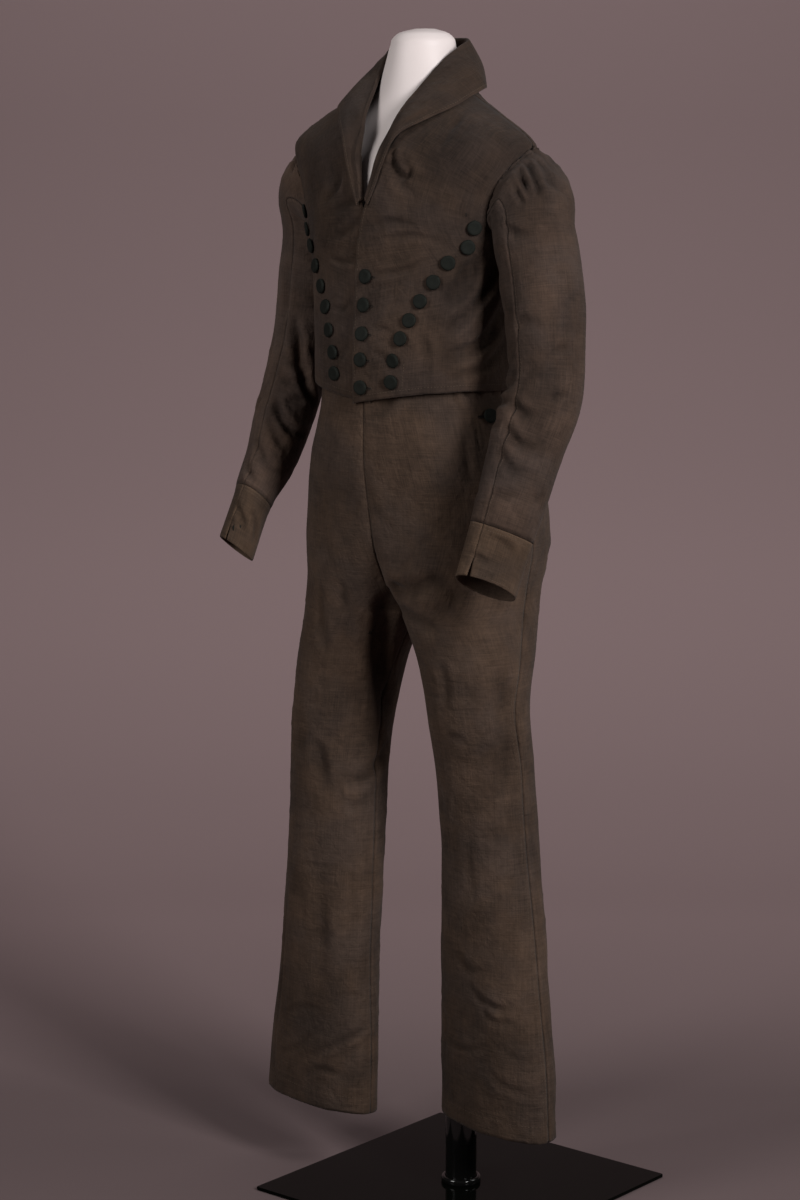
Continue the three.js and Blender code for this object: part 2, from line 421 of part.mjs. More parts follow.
// ---- collar: one strip of cloth from the foot of the V round the neck and back; it stands, rolls and falls ----
const collarOf = columns(COLLAR, 't', 'fx', 'fy', 'fz', 'ex', 'ey', 'ez');
const SIDE_T = 0.42;         // where the shoulder seam meets the neckline
function footOf(t) {
  if (t < SIDE_T) { const a = mix(-90, 0, t / SIDE_T); return [a, neckBack(a)]; }
  const z = mix(NECK_TOP, 1388, Math.pow((t - SIDE_T) / (1 - SIDE_T), 0.9));
  return [neckFront(z), z];
}
const ROLL = [{ w: 0 }, { w: 0.3 }, { w: 0.46 }, { w: 0.54 }, { w: 0.62 }, { w: 0.8 }, { w: 1 }];
function collarSection(t) {
  const [a, z] = footOf(t), foot = bodyAt(a, z, rise(a) + mix(1.5, 2.2, smooth(0.4, 0.7, t)));
  const fold = [MID + collarOf.fx(t), collarOf.fy(t), collarOf.fz(t)], edge = [MID + collarOf.ex(t), collarOf.ey(t), collarOf.ez(t)];
  const fall = sub(edge, fold), flat = unit([fall[0], fall[1], 0]), r = mix(3.4, 1.9, t);
  const inner = [fold[0] - flat[0] * r, fold[1] - flat[1] * r, fold[2] - r * 1.2];
  const outer = [fold[0] + flat[0] * r, fold[1] + flat[1] * r, fold[2] - r * 1.2];
  const out = bodyNormal(a, z), belly = mix(5, 1.5, t);
  const half = [0, 1, 2].map((i) => mix(outer[i], edge[i], 0.5) + flat[i] * belly * 0.6 + out[i] * belly * 0.8);
  const stand = [0, 1, 2].map((i) => mix(foot[i], inner[i], 0.55));
  const knots = [foot, stand, inner, fold, outer, half, edge];
  return [0, 1, 2].map((i) => column(ROLL.map((row, j) => ({ w: row.w, v: knots[j][i] })), 'w', 'v'));
}
function collarPoint(u, w) {   // u -1 at the left foot of the V, 0 at the centre back, 1 at the right foot
  const t = Math.abs(u), s = collarSection(t);
  let p = s.map((f) => f(w));
  // where it falls on the fronts it lies just clear of them, and of the overlap near the centre
  if (t > 0.42 && w > 0.5) {
    const q = clearOfBody(p, 2.4 + 2.8 * (1 - smooth(20, 62, p[0] - MID)));
    const share = smooth(0.42, 0.48, t) * mix(smooth(0.56, 0.76, w), 1, smooth(0.58, 0.66, t));
    p = p.map((v, i) => mix(v, q[i], share));
  }
  return u > 0 ? [2 * MID - p[0], p[1], p[2]] : p;
}
function collarAt(u, w, out) {
  const e = 0.012, p = collarPoint(u, w);
  const du = sub(collarPoint(Math.min(1, u + e), w), collarPoint(Math.max(-1, u - e), w));
  const dw = sub(collarPoint(u, Math.min(1, w + e)), collarPoint(u, Math.max(0, w - e)));
  return along(p, unit(cross(dw, du)), out);
}
const COLLAR_U = [-0.985, -0.93, -0.86, -0.78, -0.7, -0.62, -0.54, -0.47, -0.4, -0.33, -0.25, -0.16, -0.08, 0, 0.08, 0.16, 0.25, 0.33, 0.4, 0.47, 0.54, 0.62, 0.7, 0.78, 0.86, 0.93, 0.985];
add('collar', wall(collarAt, COLLAR_U, [0, 0.24, 0.44, 0.5, 0.57, 0.66, 0.83, 1], -CLOTH / 2, CLOTH / 2, true), linen);

// ---- trousers ----
const hips = columns(HIPS, 'z', 'half', 'front', 'back', 'mid', 'wrapFront', 'wrapBack');
const LEGS = { left: columns(LEG_LEFT, 'z', 'x', 'mid', 'half', 'front', 'back', 'turn'), right: columns(LEG_RIGHT, 'z', 'x', 'mid', 'half', 'front', 'back', 'turn') };
function trouserPoint(side, front, u, z) {
  const sign = side === 'left' ? 1 : -1;
  if (z >= CROTCH) {
    const wrap = front ? hips.wrapFront(z) : hips.wrapBack(z), half = hips.half(z), n = HIP_SQUARE;
    const w = wrap > 90 ? half / (1 - power(Math.cos(rad(wrap)), n)) : half, c = half - w, a = rad(u * wrap);
    const y = hips.mid(z) + (front ? -hips.front(z) : hips.back(z)) * power(Math.sin(a), n);
    return [MID + sign * (c + w * power(Math.cos(a), n)), y, z];
  }
  const leg = LEGS[side], a = rad(u * 180), t = rad(leg.turn(z)), n = mix(LEG_SQUARE, HIP_SQUARE, smooth(690, 815, z));
  const dx = leg.half(z) * power(Math.cos(a), n), dy = (front ? -leg.front(z) : leg.back(z)) * power(Math.sin(a), n);
  return [MID + sign * (leg.x(z) + dx * Math.cos(t) - dy * Math.sin(t)), leg.mid(z) + dx * Math.sin(t) + dy * Math.cos(t), z];
}
function trouserAt(side, front) {
  return (u, z, out) => {
    const p = trouserPoint(side, front, u, z), e = 0.01;
    const u0 = Math.max(0.002, u - e), u1 = Math.min(0.998, u + e), z0 = z >= CROTCH ? Math.max(CROTCH, z - 2) : z - 2, z1 = z < CROTCH ? Math.min(CROTCH - 0.01, z + 2) : z + 2;
    const du = sub(trouserPoint(side, front, u1, z), trouserPoint(side, front, u0, z)), dz = sub(trouserPoint(side, front, u, z1), trouserPoint(side, front, u, z0));
    const n = unit(cross(du, dz)), turnOut = (side === 'left') === front ? -1 : 1;
    return along(p, n, out * turnOut);
  };
}
const TROUSER_COLS = 8, PULL = 0.0006;
for (const side of ['left', 'right']) for (const front of [true, false]) {
  const rows = TROUSER_ROWS.map((z) => (z === 90 && side === 'right' ? 84 : z)).reverse();
  add(`trouser_${front ? 'front' : 'back'}_${side}`, wall(trouserAt(side, front), steps(TROUSER_COLS, PULL, 1 - PULL), rows, -CLOTH, 0, (side === 'left') === front), linen);
}
// the waistband, one strip from centre front to centre front, hidden by the jacket
const bandAt = (u, z, out) => {
  const a = mix(90.1, 449.9, u), s = Math.sin(rad(a)), c = Math.cos(rad(a)), k = 1 + out / 125;
  return [MID + k * hips.half(z) * power(c, HIP_SQUARE), k * (hips.mid(z) - (s > 0 ? hips.front(z) : hips.back(z)) * power(s, HIP_SQUARE)), z];
};
add('waistband', wall(bandAt, steps(24), [BAND.bottom, BAND.top], -CLOTH, 0, true), linen);

// ---- buttons, each a low dome on the cloth it is sewn to ----
function button(name, at, normal, size) {
  const r = size.radius, h = size.thick;
  const profile = [[0, 0], [r * 0.82, 0], [r, h * 0.35], [r * 0.93, h * 0.7], [r * 0.62, h * 0.95], [0, h]];
  const mesh = add(name, new THREE.LatheGeometry(profile.map(([x, y]) => new THREE.Vector2(x, y)), 12), horn);
  mesh.position.set(...along(at, normal, 2 * SEAM));
  mesh.quaternion.setFromUnitVectors(new THREE.Vector3(0, 1, 0), new THREE.Vector3(...normal));
  return mesh;
}
const mirrored = (p) => [2 * MID - p[0], p[1], p[2]], turned = (n) => [-n[0], n[1], n[2]];
CENTRE_BUTTONS.forEach(({ x, z }, i) => { const a = frontAngle(x, z); button(`button_centre_${i + 1}`, bodyAt(a, z, rise(a)), bodyNormal(a, z), BUTTON); });
FAN_BUTTONS.forEach(({ x, left, right }, i) => {
  const a = frontAngle(x, left), b = frontAngle(x, right);
  button(`button_fan_left_${i + 1}`, bodyAt(a, left, rise(a)), bodyNormal(a, left), BUTTON);
  button(`button_fan_right_${i + 1}`, mirrored(bodyAt(b, right, 0)), turned(bodyNormal(b, right)), BUTTON);
});
for (const side of ['left', 'right']) {
  const a = HIP_BUTTON.angle / 90, at = trouserAt(side, true), p = at(a, HIP_BUTTON.z, 0), q = at(a, HIP_BUTTON.z, 1);
  button(`button_hip_${side}`, p, unit(sub(q, p)), BUTTON);
  const arm = side === 'left' ? sleeveL : sleeveR, c = arm(11.72, 112, 2), d = arm(11.72, 112, 3);
  button(`button_cuff_${side}`, c, unit(sub(d, c)), SMALL_BUTTON);
}

// ---- the form, the pole, its foot ring and the plate ----
function loft(rows, count) {
  const pos = [], idx = [];
  for (const r of rows) for (let i = 0; i < count; i++) {
    const a = (2 * Math.PI * i) / count, c = Math.cos(a), s = Math.sin(a);
    pos.push(MID + r.half * power(c, r.square), r.mid - (s > 0 ? r.front : r.back) * power(s, r.square), r.z);
  }
  const low = pos.length / 3, high = low + 1, top = (rows.length - 1) * count;
  pos.push(MID, rows[0].mid, rows[0].z, MID, rows[rows.length - 1].mid, rows[rows.length - 1].z);
  for (let i = 0; i < count; i++) {
    const j = (i + 1) % count;
    for (let k = 0; k < rows.length - 1; k++) {
      const a = k * count + i, b = k * count + j, c = b + count, d = a + count;
      idx.push(a, c, b, a, d, c);
    }
    idx.push(low, i, j, high, top + j, top + i);
  }
  return solid(pos, idx);
}
add('form_torso', loft(FORM, 24), formWhite);
const pole = add('pole', new THREE.CylinderGeometry(POLE.radius, POLE.radius, POLE.top - POLE.bottom, 24), blackGloss, whole);
pole.rotation.x = Math.PI / 2;
pole.position.z = (POLE.top + POLE.bottom) / 2;
const ringProfile = [[RING.inner, 0], [RING.outer, 0], [RING.outer, RING.height * 0.6], [RING.outer - 2, RING.height], [RING.inner, RING.height], [RING.inner, 0]];
const ring = add('pole_ring', new THREE.LatheGeometry(ringProfile.map(([x, y]) => new THREE.Vector2(x, y)), 24), blackGloss, whole);
ring.rotation.x = Math.PI / 2;
ring.position.z = RING.bottom;
const plate = add('base_plate', new THREE.BoxGeometry(PLATE.side, PLATE.side, PLATE.thick), blackGloss, whole);
plate.position.z = PLATE.thick / 2;

export default whole;
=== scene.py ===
import math
import bpy
import numpy as np
from mathutils import Matrix, Vector
from mathutils.bvhtree import BVHTree


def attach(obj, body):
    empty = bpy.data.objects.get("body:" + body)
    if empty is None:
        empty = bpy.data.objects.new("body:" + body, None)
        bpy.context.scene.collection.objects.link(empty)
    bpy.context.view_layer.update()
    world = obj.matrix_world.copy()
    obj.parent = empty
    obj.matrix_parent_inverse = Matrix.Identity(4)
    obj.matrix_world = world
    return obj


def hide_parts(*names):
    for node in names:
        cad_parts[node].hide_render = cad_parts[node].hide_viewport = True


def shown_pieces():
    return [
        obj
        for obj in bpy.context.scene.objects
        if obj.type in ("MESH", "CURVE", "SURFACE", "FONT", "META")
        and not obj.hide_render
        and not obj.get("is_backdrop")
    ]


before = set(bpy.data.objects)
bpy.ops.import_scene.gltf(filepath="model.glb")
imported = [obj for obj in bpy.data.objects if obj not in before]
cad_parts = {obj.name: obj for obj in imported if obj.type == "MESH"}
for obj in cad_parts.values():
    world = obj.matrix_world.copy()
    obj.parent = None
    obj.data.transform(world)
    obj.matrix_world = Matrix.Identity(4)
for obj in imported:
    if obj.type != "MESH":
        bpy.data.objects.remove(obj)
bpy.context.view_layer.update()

FINE = 1.0        # share of the full number of grid lines
MID, CLOTH, LAYER, SEAM, LIFT = -78.0, 1.5, 1.0, 0.3, 22.0
ARM_TOP, UNDERARM, SIDE_ANGLE, NECK_TOP = 1466.0, 1336.0, -12.0, 1546.5
WRAP = 15.0


def rows(names, *data):
    return {n: np.array([r[i] for r in data], float) for i, n in enumerate(names.split())}


BODY = rows("z half front back mid square squareBack",
            (1105, 149, 126, 108, 0, 2.35, 2.35), (1133, 148, 127, 109, 0, 2.4, 2.4), (1210, 149, 126, 112, 0, 2.5, 2.4),
            (1270, 158, 120, 120, 0, 2.4, 2.3), (1330, 165, 118, 128, 0, 2.4, 2.2), (1380, 174, 119, 132, -1, 2.3, 2.05),
            (1420, 189, 113, 131, -3, 2.2, 1.8), (1464, 203, 99, 122, -8, 2.2, 1.5), (1507, 150, 70, 98, -8, 2.2, 1.42),
            (1530, 108, 56, 84, -6, 2.15, 1.5), (1550, 70, 48, 74, -4, 2.1, 2.0))
NECK_FRONT = rows("z angle", (1382, 90), (1410, 87.2), (1440, 84.4), (1470, 81), (1500, 75), (1525, 64), (1540, 40), (1546.5, 0))
NECK_BACK = rows("angle z", (-90, 1538), (-60, 1540), (-30, 1544), (0, 1546.5))
ARM_FRONT = rows("t angle z", (0, -12, 1336), (0.16, 4, 1338), (0.32, 16, 1349), (0.52, 23, 1376), (0.72, 22.5, 1412),
                 (0.88, 14, 1446), (1, 0, 1466))
ARM_BACK = rows("t angle z", (0, -12, 1336), (0.16, -24, 1346), (0.34, -33, 1370), (0.54, -36, 1402), (0.74, -30, 1432),
                (0.9, -15, 1456), (1, 0, 1466))
EDGE = rows("z wrap", (1105, 15), (1300, 15), (1345, 10), (1370, 3), (1382, 0))
HEM = rows("angle z", (-90, 1131), (0, 1135), (40, 1136), (62, 1132), (78, 1126), (88, 1120), (97, 1112))
SLEEVE_LEFT = rows("k x y z wide flat turn lean",
                   (0, 186, 4, 1402, 61, 61, 0, 0), (1, 192, 0, 1397, 57, 62, 5, 0), (2, 200, -6, 1382, 57, 57, 15, 0),
                   (3, 206, -12, 1358, 55, 52, 30, 0), (4, 215, -18, 1325, 58, 47, 40, 0), (5, 229, -25, 1270, 59, 46, 40, 0),
                   (6, 238, -31, 1215, 57, 43, 40, 0), (7, 244, -37, 1165, 55, 41, 40, 0), (8, 245, -48, 1120, 53, 39, 40, 0),
                   (9, 242, -67, 1074, 49, 36, 40, 0), (10, 240, -90, 1020, 46, 32, 40, 1), (11, 236, -115, 958, 43, 28, 40, 3),
                   (12, 231, -143, 886, 42, 26, 40, 7.7))
SLEEVE_RIGHT = rows("k x y z wide flat turn lean",
                    (0, 186, 4, 1402, 64, 62, 0, 0), (1, 193, 5, 1398, 59, 61, 5, 0), (2, 201, 9, 1384, 57, 55, 15, 0),
                    (3, 207, 14, 1358, 58, 48, 30, 0), (4, 214, 19, 1325, 59, 45, 40, 0), (5, 224, 21, 1270, 58, 44, 40, 0),
                    (6, 230, 19, 1215, 56, 42, 40, 0), (7, 236, 11, 1165, 55, 41, 40, 1), (8, 238, -2, 1120, 53, 42, 40, 3),
                    (9, 240, -21, 1074, 50, 41, 40, 5), (10, 241, -47, 1020, 47, 36, 40, 7), (11, 244, -83, 962, 43, 28, 40, 9),
                    (12, 245, -119, 891, 41, 27, 40, 11.4))
CUFF_K, CUFF_SLIT, LAST_K = 11, 3.2, 12
HIPS = rows("z half front back mid wrapFront wrapBack",
            (815, 182, 102, 88, 4, 180, 180), (835, 181, 108, 94, 8, 152, 138), (855, 181, 114, 101, 12, 136, 117),
            (880, 184, 119, 115, 15, 123, 104), (909, 188, 123, 127, 17, 110, 97), (946, 189, 126, 130, 17, 98, 91),
            (988, 185, 130, 128, 14, 90, 90), (1032, 174, 132, 123, 10, 90, 90), (1077, 158, 129, 116, 6, 90, 90),
            (1113, 146, 124, 108, 2, 90, 90), (1150, 143, 122.5, 104.5, 0, 90, 90))
CROTCH, TROUSER_TOP, LEG_SQUARE, HIP_SQUARE = 815, 1150, 2.3, 2.15
LEG_LEFT = rows("z x mid half front back turn",
                (90, 153, -9, 108, 49, 48, -11), (200, 150, -9, 102, 50, 50, -10), (300, 142, -5, 92, 53, 53, -9),
                (400, 131, 3, 81, 56, 57, -7), (500, 121, 8, 71, 60, 62, -5), (600, 118, 1, 68, 64, 65, -3),
                (690, 115, -13, 68, 72, 74, -1), (760, 108, -7, 78, 87, 82, 0), (815, 91, 4, 91, 102, 88, 0))
LEG_RIGHT = rows("z x mid half front back turn",
                 (84, 130, -68, 106, 42, 42, 7), (200, 126, -62, 98, 46, 46, 7), (300, 124, -56, 86, 50, 50, 6),
                 (400, 122, -48, 80, 55, 55, 5), (500, 122, -40, 76, 60, 60, 4), (600, 123, -32, 73, 64, 64, 3),
                 (690, 118, -22, 75, 72, 74, 1), (760, 109, -8, 78, 87, 82, 0), (815, 91, 4, 91, 102, 88, 0))
COLLAR = rows("t fx fy fz ex ey ez",
              (0, 0, 67, 1612, 0, 98, 1543), (0.14, 33, 58, 1611, 39, 86, 1543), (0.28, 55, 34, 1607, 75, 52, 1544),
              (0.4, 60, 6, 1597, 105, 6, 1541), (0.5, 54, -16, 1581, 107, -42, 1525), (0.62, 41, -52, 1545, 78, -84, 1502),
              (0.74, 29, -88, 1503, 48, -112, 1478), (0.84, 19, -107, 1458, 32, -121, 1441), (0.93, 10, -116, 1418, 19, -124.5, 1406),
              (1, 2.5, -121, 1388, 7, -126, 1381))
CENTRE_BUTTONS = [(5, 1290), (4, 1251), (4, 1212), (2, 1177), (2, 1139)]                     # x, z
FAN_BUTTONS = [(149, 1358, 1374), (142, 1332, 1349), (122, 1311, 1327), (105, 1285, 1300), (89, 1259, 1273),
               (76, 1233, 1245), (65, 1208, 1214), (54, 1178, 1184), (51, 1149, 1155)]       # x, left z, right z
FORM = rows("z half front back mid square",
            (908, 150, 88, 92, 17, 2), (916, 166, 104, 108, 17, 2.1), (946, 176, 113, 117, 17, 2.1), (988, 173, 117, 116, 14, 2.1),
            (1032, 163, 119, 111, 10, 2.1), (1077, 148, 117, 105, 6, 2.1), (1113, 138, 114, 99, 2, 2.15), (1150, 136, 115, 97, 0, 2.2),
            (1210, 138, 115, 102, 0, 2.4), (1270, 149, 111, 111, 0, 2.4), (1330, 157, 110, 119, 0, 2.4), (1380, 165, 109, 122, -1, 2.3),
            (1420, 170, 101, 119, -3, 2.2), (1452, 160, 86, 108, -5, 2.2), (1480, 132, 69, 93, -4, 2.15), (1505, 100, 62, 80, -1, 2.1),
            (1526, 76, 60, 66, 3, 2.05), (1548, 63, 58, 55, 6, 2), (1575, 54, 55, 47, 8, 2), (1600, 46, 51, 39, 9, 2),
            (1613, 41, 45, 35, 9, 2), (1620, 30, 33, 25, 9, 2), (1624, 14, 14, 14, 9, 2))

# ---------------------------------------------------------------- helpers
rad = np.radians


def mix(a, b, t):
    return a + (b - a) * t


def smooth(a, b, x):
    t = np.clip((np.asarray(x, float) - a) / (b - a), 0, 1)
    return t * t * (3 - 2 * t)


def unit(v):
    return v / np.maximum(np.linalg.norm(v, axis=-1, keepdims=True), 1e-12)


def column(table, by, name):
    xs, ys = table[by], table[name]
    d = np.diff(ys) / np.diff(xs)
    m = np.zeros(len(xs))
    m[0], m[-1] = d[0], d[-1]
    for i in range(1, len(xs) - 1):
        a, b, h0, h1 = d[i - 1], d[i], xs[i] - xs[i - 1], xs[i + 1] - xs[i]
        m[i] = 0 if a * b <= 0 else (a * h1 + b * h0) / (h0 + h1)

    def f(x):
        x = np.clip(np.asarray(x, float), xs[0], xs[-1])
        i = np.clip(np.searchsorted(xs, x, side="left") - 1, 0, len(xs) - 2)
        h = xs[i + 1] - xs[i]
        t = (x - xs[i]) / h
        t2, t3 = t * t, t * t * t
        return ((2 * t3 - 3 * t2 + 1) * ys[i] + (t3 - 2 * t2 + t) * h * m[i]
                + (3 * t2 - 2 * t3) * ys[i + 1] + (t3 - t2) * h * m[i + 1])
    return f


def columns(table, by, *names):
    return {n: column(table, by, n) for n in names}


def power(v, n):
    return np.sign(v) * np.abs(v) ** (2 / n)


def pt(x, y, z):
    x, y, z = np.broadcast_arrays(x, y, z)
    return np.stack([x, y, z], -1).astype(float)


def mirror(p):
    q = p.copy()
    q[..., 0] = 2 * MID - q[..., 0]
    return q


def refine(values, n):
    """Each gap between two values cut into n."""
    v = np.asarray(values, float)
    return np.concatenate([np.linspace(v[i], v[i + 1], n, endpoint=False) for i in range(len(v) - 1)] + [v[-1:]])


def lines(n):
    return max(4, int(round(n * FINE)))


# ---------------------------------------------------------------- the jacket's body
body_of = columns(BODY, "z", "half", "front", "back", "mid", "square", "squareBack")


def body_point(angle, z):
    c, s = np.cos(rad(angle)), np.sin(rad(angle))
    n = np.where(s > 0, body_of["square"](z), body_of["squareBack"](z))
    deep = np.where(s > 0, body_of["front"](z), body_of["back"](z))
    return pt(MID + body_of["half"](z) * power(c, n), body_of["mid"](z) - deep * power(s, n), z)


def body_normal(angle, z):
    du = body_point(angle + 0.5, z) - body_point(angle - 0.5, z)
    dv = body_point(angle, z + 1) - body_point(angle, z - 1)
    return unit(np.cross(dv, du))


def body_at(angle, z, out):
    out = np.asarray(out, float)
    return body_point(angle, z) + body_normal(angle, z) * out[..., None]


def front_angle(x, z):
    q = np.minimum(1, np.abs(x) / body_of["half"](z))
    a = np.degrees(np.arccos(q ** (body_of["square"](z) / 2)))
    return np.where(np.asarray(x) >= 0, a, 180 - a)


hem_z, wrap_at = column(HEM, "angle", "z"), column(EDGE, "z", "wrap")
neck_front, neck_back = column(NECK_FRONT, "z", "angle"), column(NECK_BACK, "angle", "z")
arm_front, arm_back = columns(ARM_FRONT, "t", "angle", "z"), columns(ARM_BACK, "t", "angle", "z")
SIDE_ROWS, ARM_ROWS, BODY_COLS, V_NECK = 5, 8, 12, 0.62
V_ARM = SIDE_ROWS / (SIDE_ROWS + ARM_ROWS)


def two(a, b):
    a, b = np.broadcast_arrays(a, b)
    return np.stack([a, b], -1).astype(float)


def side_edge(arm):
    def f(v):
        v = np.asarray(v, float)
        t = np.clip((v - V_ARM) / (1 - V_ARM), 0, 1)
        low = v <= V_ARM
        return two(np.where(low, SIDE_ANGLE, arm["angle"](t)), np.where(low, mix(hem_z(0), UNDERARM, v / V_ARM), arm["z"](t)))
    return f


def front_edge(wrap, foot):
    def f(v):
        v = np.asarray(v, float)
        z0 = mix(foot, 1382, np.minimum(v / V_NECK, 1))
        z1 = mix(1382, NECK_TOP, 1 - (1 - np.clip((v - V_NECK) / (1 - V_NECK), 0, 1)) ** 1.25)
        low = v <= V_NECK
        return two(np.where(low, front_angle(-wrap(z0), z0), neck_front(z1)), np.where(low, z0, z1))
    return f


def back_edge(v):
    v = np.asarray(v, float)
    a = mix(-90, 0, np.clip((v - 0.8) / 0.2, 0, 1))
    low = v <= 0.8
    return two(np.where(low, -90, a), np.where(low, mix(hem_z(-90), neck_back(-90), v / 0.8), neck_back(a)))


def shoulder(u):
    return two(0 * np.asarray(u, float), mix(NECK_TOP, ARM_TOP, np.asarray(u, float)))


def cut(centre, side, bottom, top):
    c00, c10, c01, c11 = centre(0.0), side(0.0), centre(1.0), side(1.0)

    def f(u, v):
        u, v = np.broadcast_arrays(np.asarray(u, float), np.asarray(v, float))
        uu, vv = u[..., None], v[..., None]
        return ((1 - vv) * bottom(u) + vv * top(u) + (1 - uu) * centre(v) + uu * side(v)
                - ((1 - uu) * (1 - vv) * c00 + uu * (1 - vv) * c10 + (1 - uu) * vv * c01 + uu * vv * c11))
    return f


def left_front_cut():
    centre, side = front_edge(wrap_at, 1113), side_edge(arm_front)
    a0 = centre(0.0)[0]

    def bottom(u):
        a = mix(a0, SIDE_ANGLE, u)
        return two(a, np.where(u <= 1e-9, 1113, hem_z(a)))
    return cut(centre, side, bottom, shoulder)


def right_front_cut():
    centre, side = front_edge(lambda z: -np.minimum(WRAP, wrap_at(z) + 1), 1121), side_edge(arm_front)

    def under(v):
        e = centre(v)
        return two(np.where(np.asarray(v) <= V_NECK, 180 - e[..., 0], e[..., 0]), e[..., 1])
    b0 = under(0.0)[0]

    def bottom(u):
        a = mix(b0, SIDE_ANGLE, u)
        return two(a, hem_z(np.minimum(a, 90)))
    return cut(under, side, bottom, shoulder)


def back_cut():
    def bottom(u):
        a = mix(-90, SIDE_ANGLE, u)
        return two(a, hem_z(a))
    return cut(back_edge, side_edge(arm_back), bottom, shoulder)


def rise(angle):
    return (CLOTH + LAYER) * smooth(73, 84, angle)


def panel(cut_map, mirrored, lifted):
    def at(u, v, out):
        m = cut_map(mix(0.0011, 1 - 0.0011, u), mix(0, 1 - 0.0006, v))
        p = body_at(m[..., 0], m[..., 1], out + (rise(m[..., 0]) if lifted else 0))
        return mirror(p) if mirrored else p
    return at


def body_radius(p, gap):
    """How far out a point is: 1 where it lies `gap` outside the jacket's body."""
    z, x, y = p[..., 2], p[..., 0] - MID, p[..., 1] - body_of["mid"](p[..., 2])
    n = np.where(y < 0, body_of["square"](z), body_of["squareBack"](z))
    half, deep = body_of["half"](z) + gap, np.where(y < 0, body_of["front"](z), body_of["back"](z)) + gap
    return ((np.abs(x) / half) ** n + (np.abs(y) / deep) ** n) ** (1 / n)


def clear_of_body(p, gap):
    r = body_radius(p, gap)[..., None]
    c = pt(MID, body_of["mid"](p[..., 2]), p[..., 2])
    moved = np.where((r >= 1) | (r < 0.3), p, c + (p - c) / np.maximum(r, 1e-6))
    moved[..., 2] = p[..., 2]
    return moved


# ---------------------------------------------------------------- sleeves
def sleeve_of(table, mirrored):
    c = columns(table, "k", "x", "y", "z", "wide", "flat", "turn", "lean")

    def centre(k):
        return pt(MID + c["x"](k), c["y"](k), c["z"](k))

    def ring(k, phi):
        t0 = unit(centre(np.minimum(LAST_K, k + 0.05)) - centre(np.maximum(0, k - 0.05)))
        lead = (1 - smooth(0, 3.2, k))[..., None]
        t = unit(mix(t0, np.array([0.96, 0, -0.28]), lead))
        f = unit(np.array([0, -1.0, 0]) - t * (-t[..., 1:2]))
        o = np.cross(f, t)
        w = rad(c["turn"](k))
        cw, sw = np.cos(w)[..., None], np.sin(w)[..., None]
        ax, bx = o * cw - f * sw, f * cw + o * sw
        q = rad(phi) + w
        turn = smooth(11, 12, k)
        lean_at = mix(220, 194, turn) if mirrored else mix(-40, -105, turn)
        lean = c["lean"](k) * np.cos(rad(phi - lean_at))
        return (centre(k) + ax * (c["wide"](k) * np.cos(q))[..., None] + bx * (c["flat"](k) * np.sin(q))[..., None]
                + t * lean[..., None])

    def hole(phi):
        h = np.mod(phi, 360)
        front = h <= 180
        t = np.where(front, 1 - h / 180, (h - 180) / 180)
        return body_at(np.where(front, arm_front["angle"](t), arm_back["angle"](t)),
                       np.where(front, arm_front["z"](t), arm_back["z"](t)), 0.5 + 0 * t)

    def blend(k, phi):
        w = 1 - smooth(0, 1.6, k)[..., None]
        r = ring(k, phi)
        return np.where(w <= 0, clear_of_body(r, 2), clear_of_body(mix(r, hole(phi), w), 0.5 + 1.5 * smooth(0, 0.4, k)))

    def at(k, phi, out):
        k, phi = np.broadcast_arrays(np.asarray(k, float), np.asarray(phi, float))
        dk = blend(np.minimum(LAST_K, k + 0.02), phi) - blend(np.maximum(0, k - 0.02), phi)
        dp = blend(k, phi + 1) - blend(k, phi - 1)
        q = blend(k, phi) + unit(np.cross(dk, dp)) * np.asarray(out, float)[..., None]
        return mirror(q) if mirrored else q
    return at


SLEEVE_KS = [0, 0.3, 0.7, 1.2, 1.8, 2.4, 3.1, 4, 5, 6, 6.7, 7.3, 7.9, 8.6, 9.4, 10.2, CUFF_K - 0.006]
sleeve = {"left": sleeve_of(SLEEVE_LEFT, False), "right": sleeve_of(SLEEVE_RIGHT, True)}


def notch(k):
    return 0.25 + CUFF_SLIT * smooth(11.55, 12, k)


# ---------------------------------------------------------------- collar
collar_of = columns(COLLAR, "t", "fx", "fy", "fz", "ex", "ey", "ez")
ROLL = np.array([0, 0.3, 0.46, 0.54, 0.62, 0.8, 1.0])
SIDE_T = 0.42


def foot_of(t):
    back = mix(-90, 0, np.minimum(t / SIDE_T, 1))
    z = mix(NECK_TOP, 1388, np.clip((t - SIDE_T) / (1 - SIDE_T), 0, 1) ** 0.9)
    side = t < SIDE_T
    return np.where(side, back, neck_front(z)), np.where(side, neck_back(back), z)


def collar_section(t):
    a, z = foot_of(t)
    foot = body_at(a, z, rise(a) + mix(1.5, 2.2, smooth(0.4, 0.7, t)))
    fold = pt(MID + collar_of["fx"](t), collar_of["fy"](t), collar_of["fz"](t))
    edge = pt(MID + collar_of["ex"](t), collar_of["ey"](t), collar_of["ez"](t))
    fall = edge - fold
    fall[..., 2] = 0
    flat, r = unit(fall), mix(3.4, 1.9, t)[..., None]
    down = np.array([0, 0, 1.0]) * r * 1.2
    inner, outer = fold - flat * r - down, fold + flat * r - down
    out, belly = body_normal(a, z), mix(5, 1.5, t)[..., None]
    half = mix(outer, edge, 0.5) + flat * belly * 0.6 + out * belly * 0.8
    return np.stack([foot, mix(foot, inner, 0.55), inner, fold, outer, half, edge])


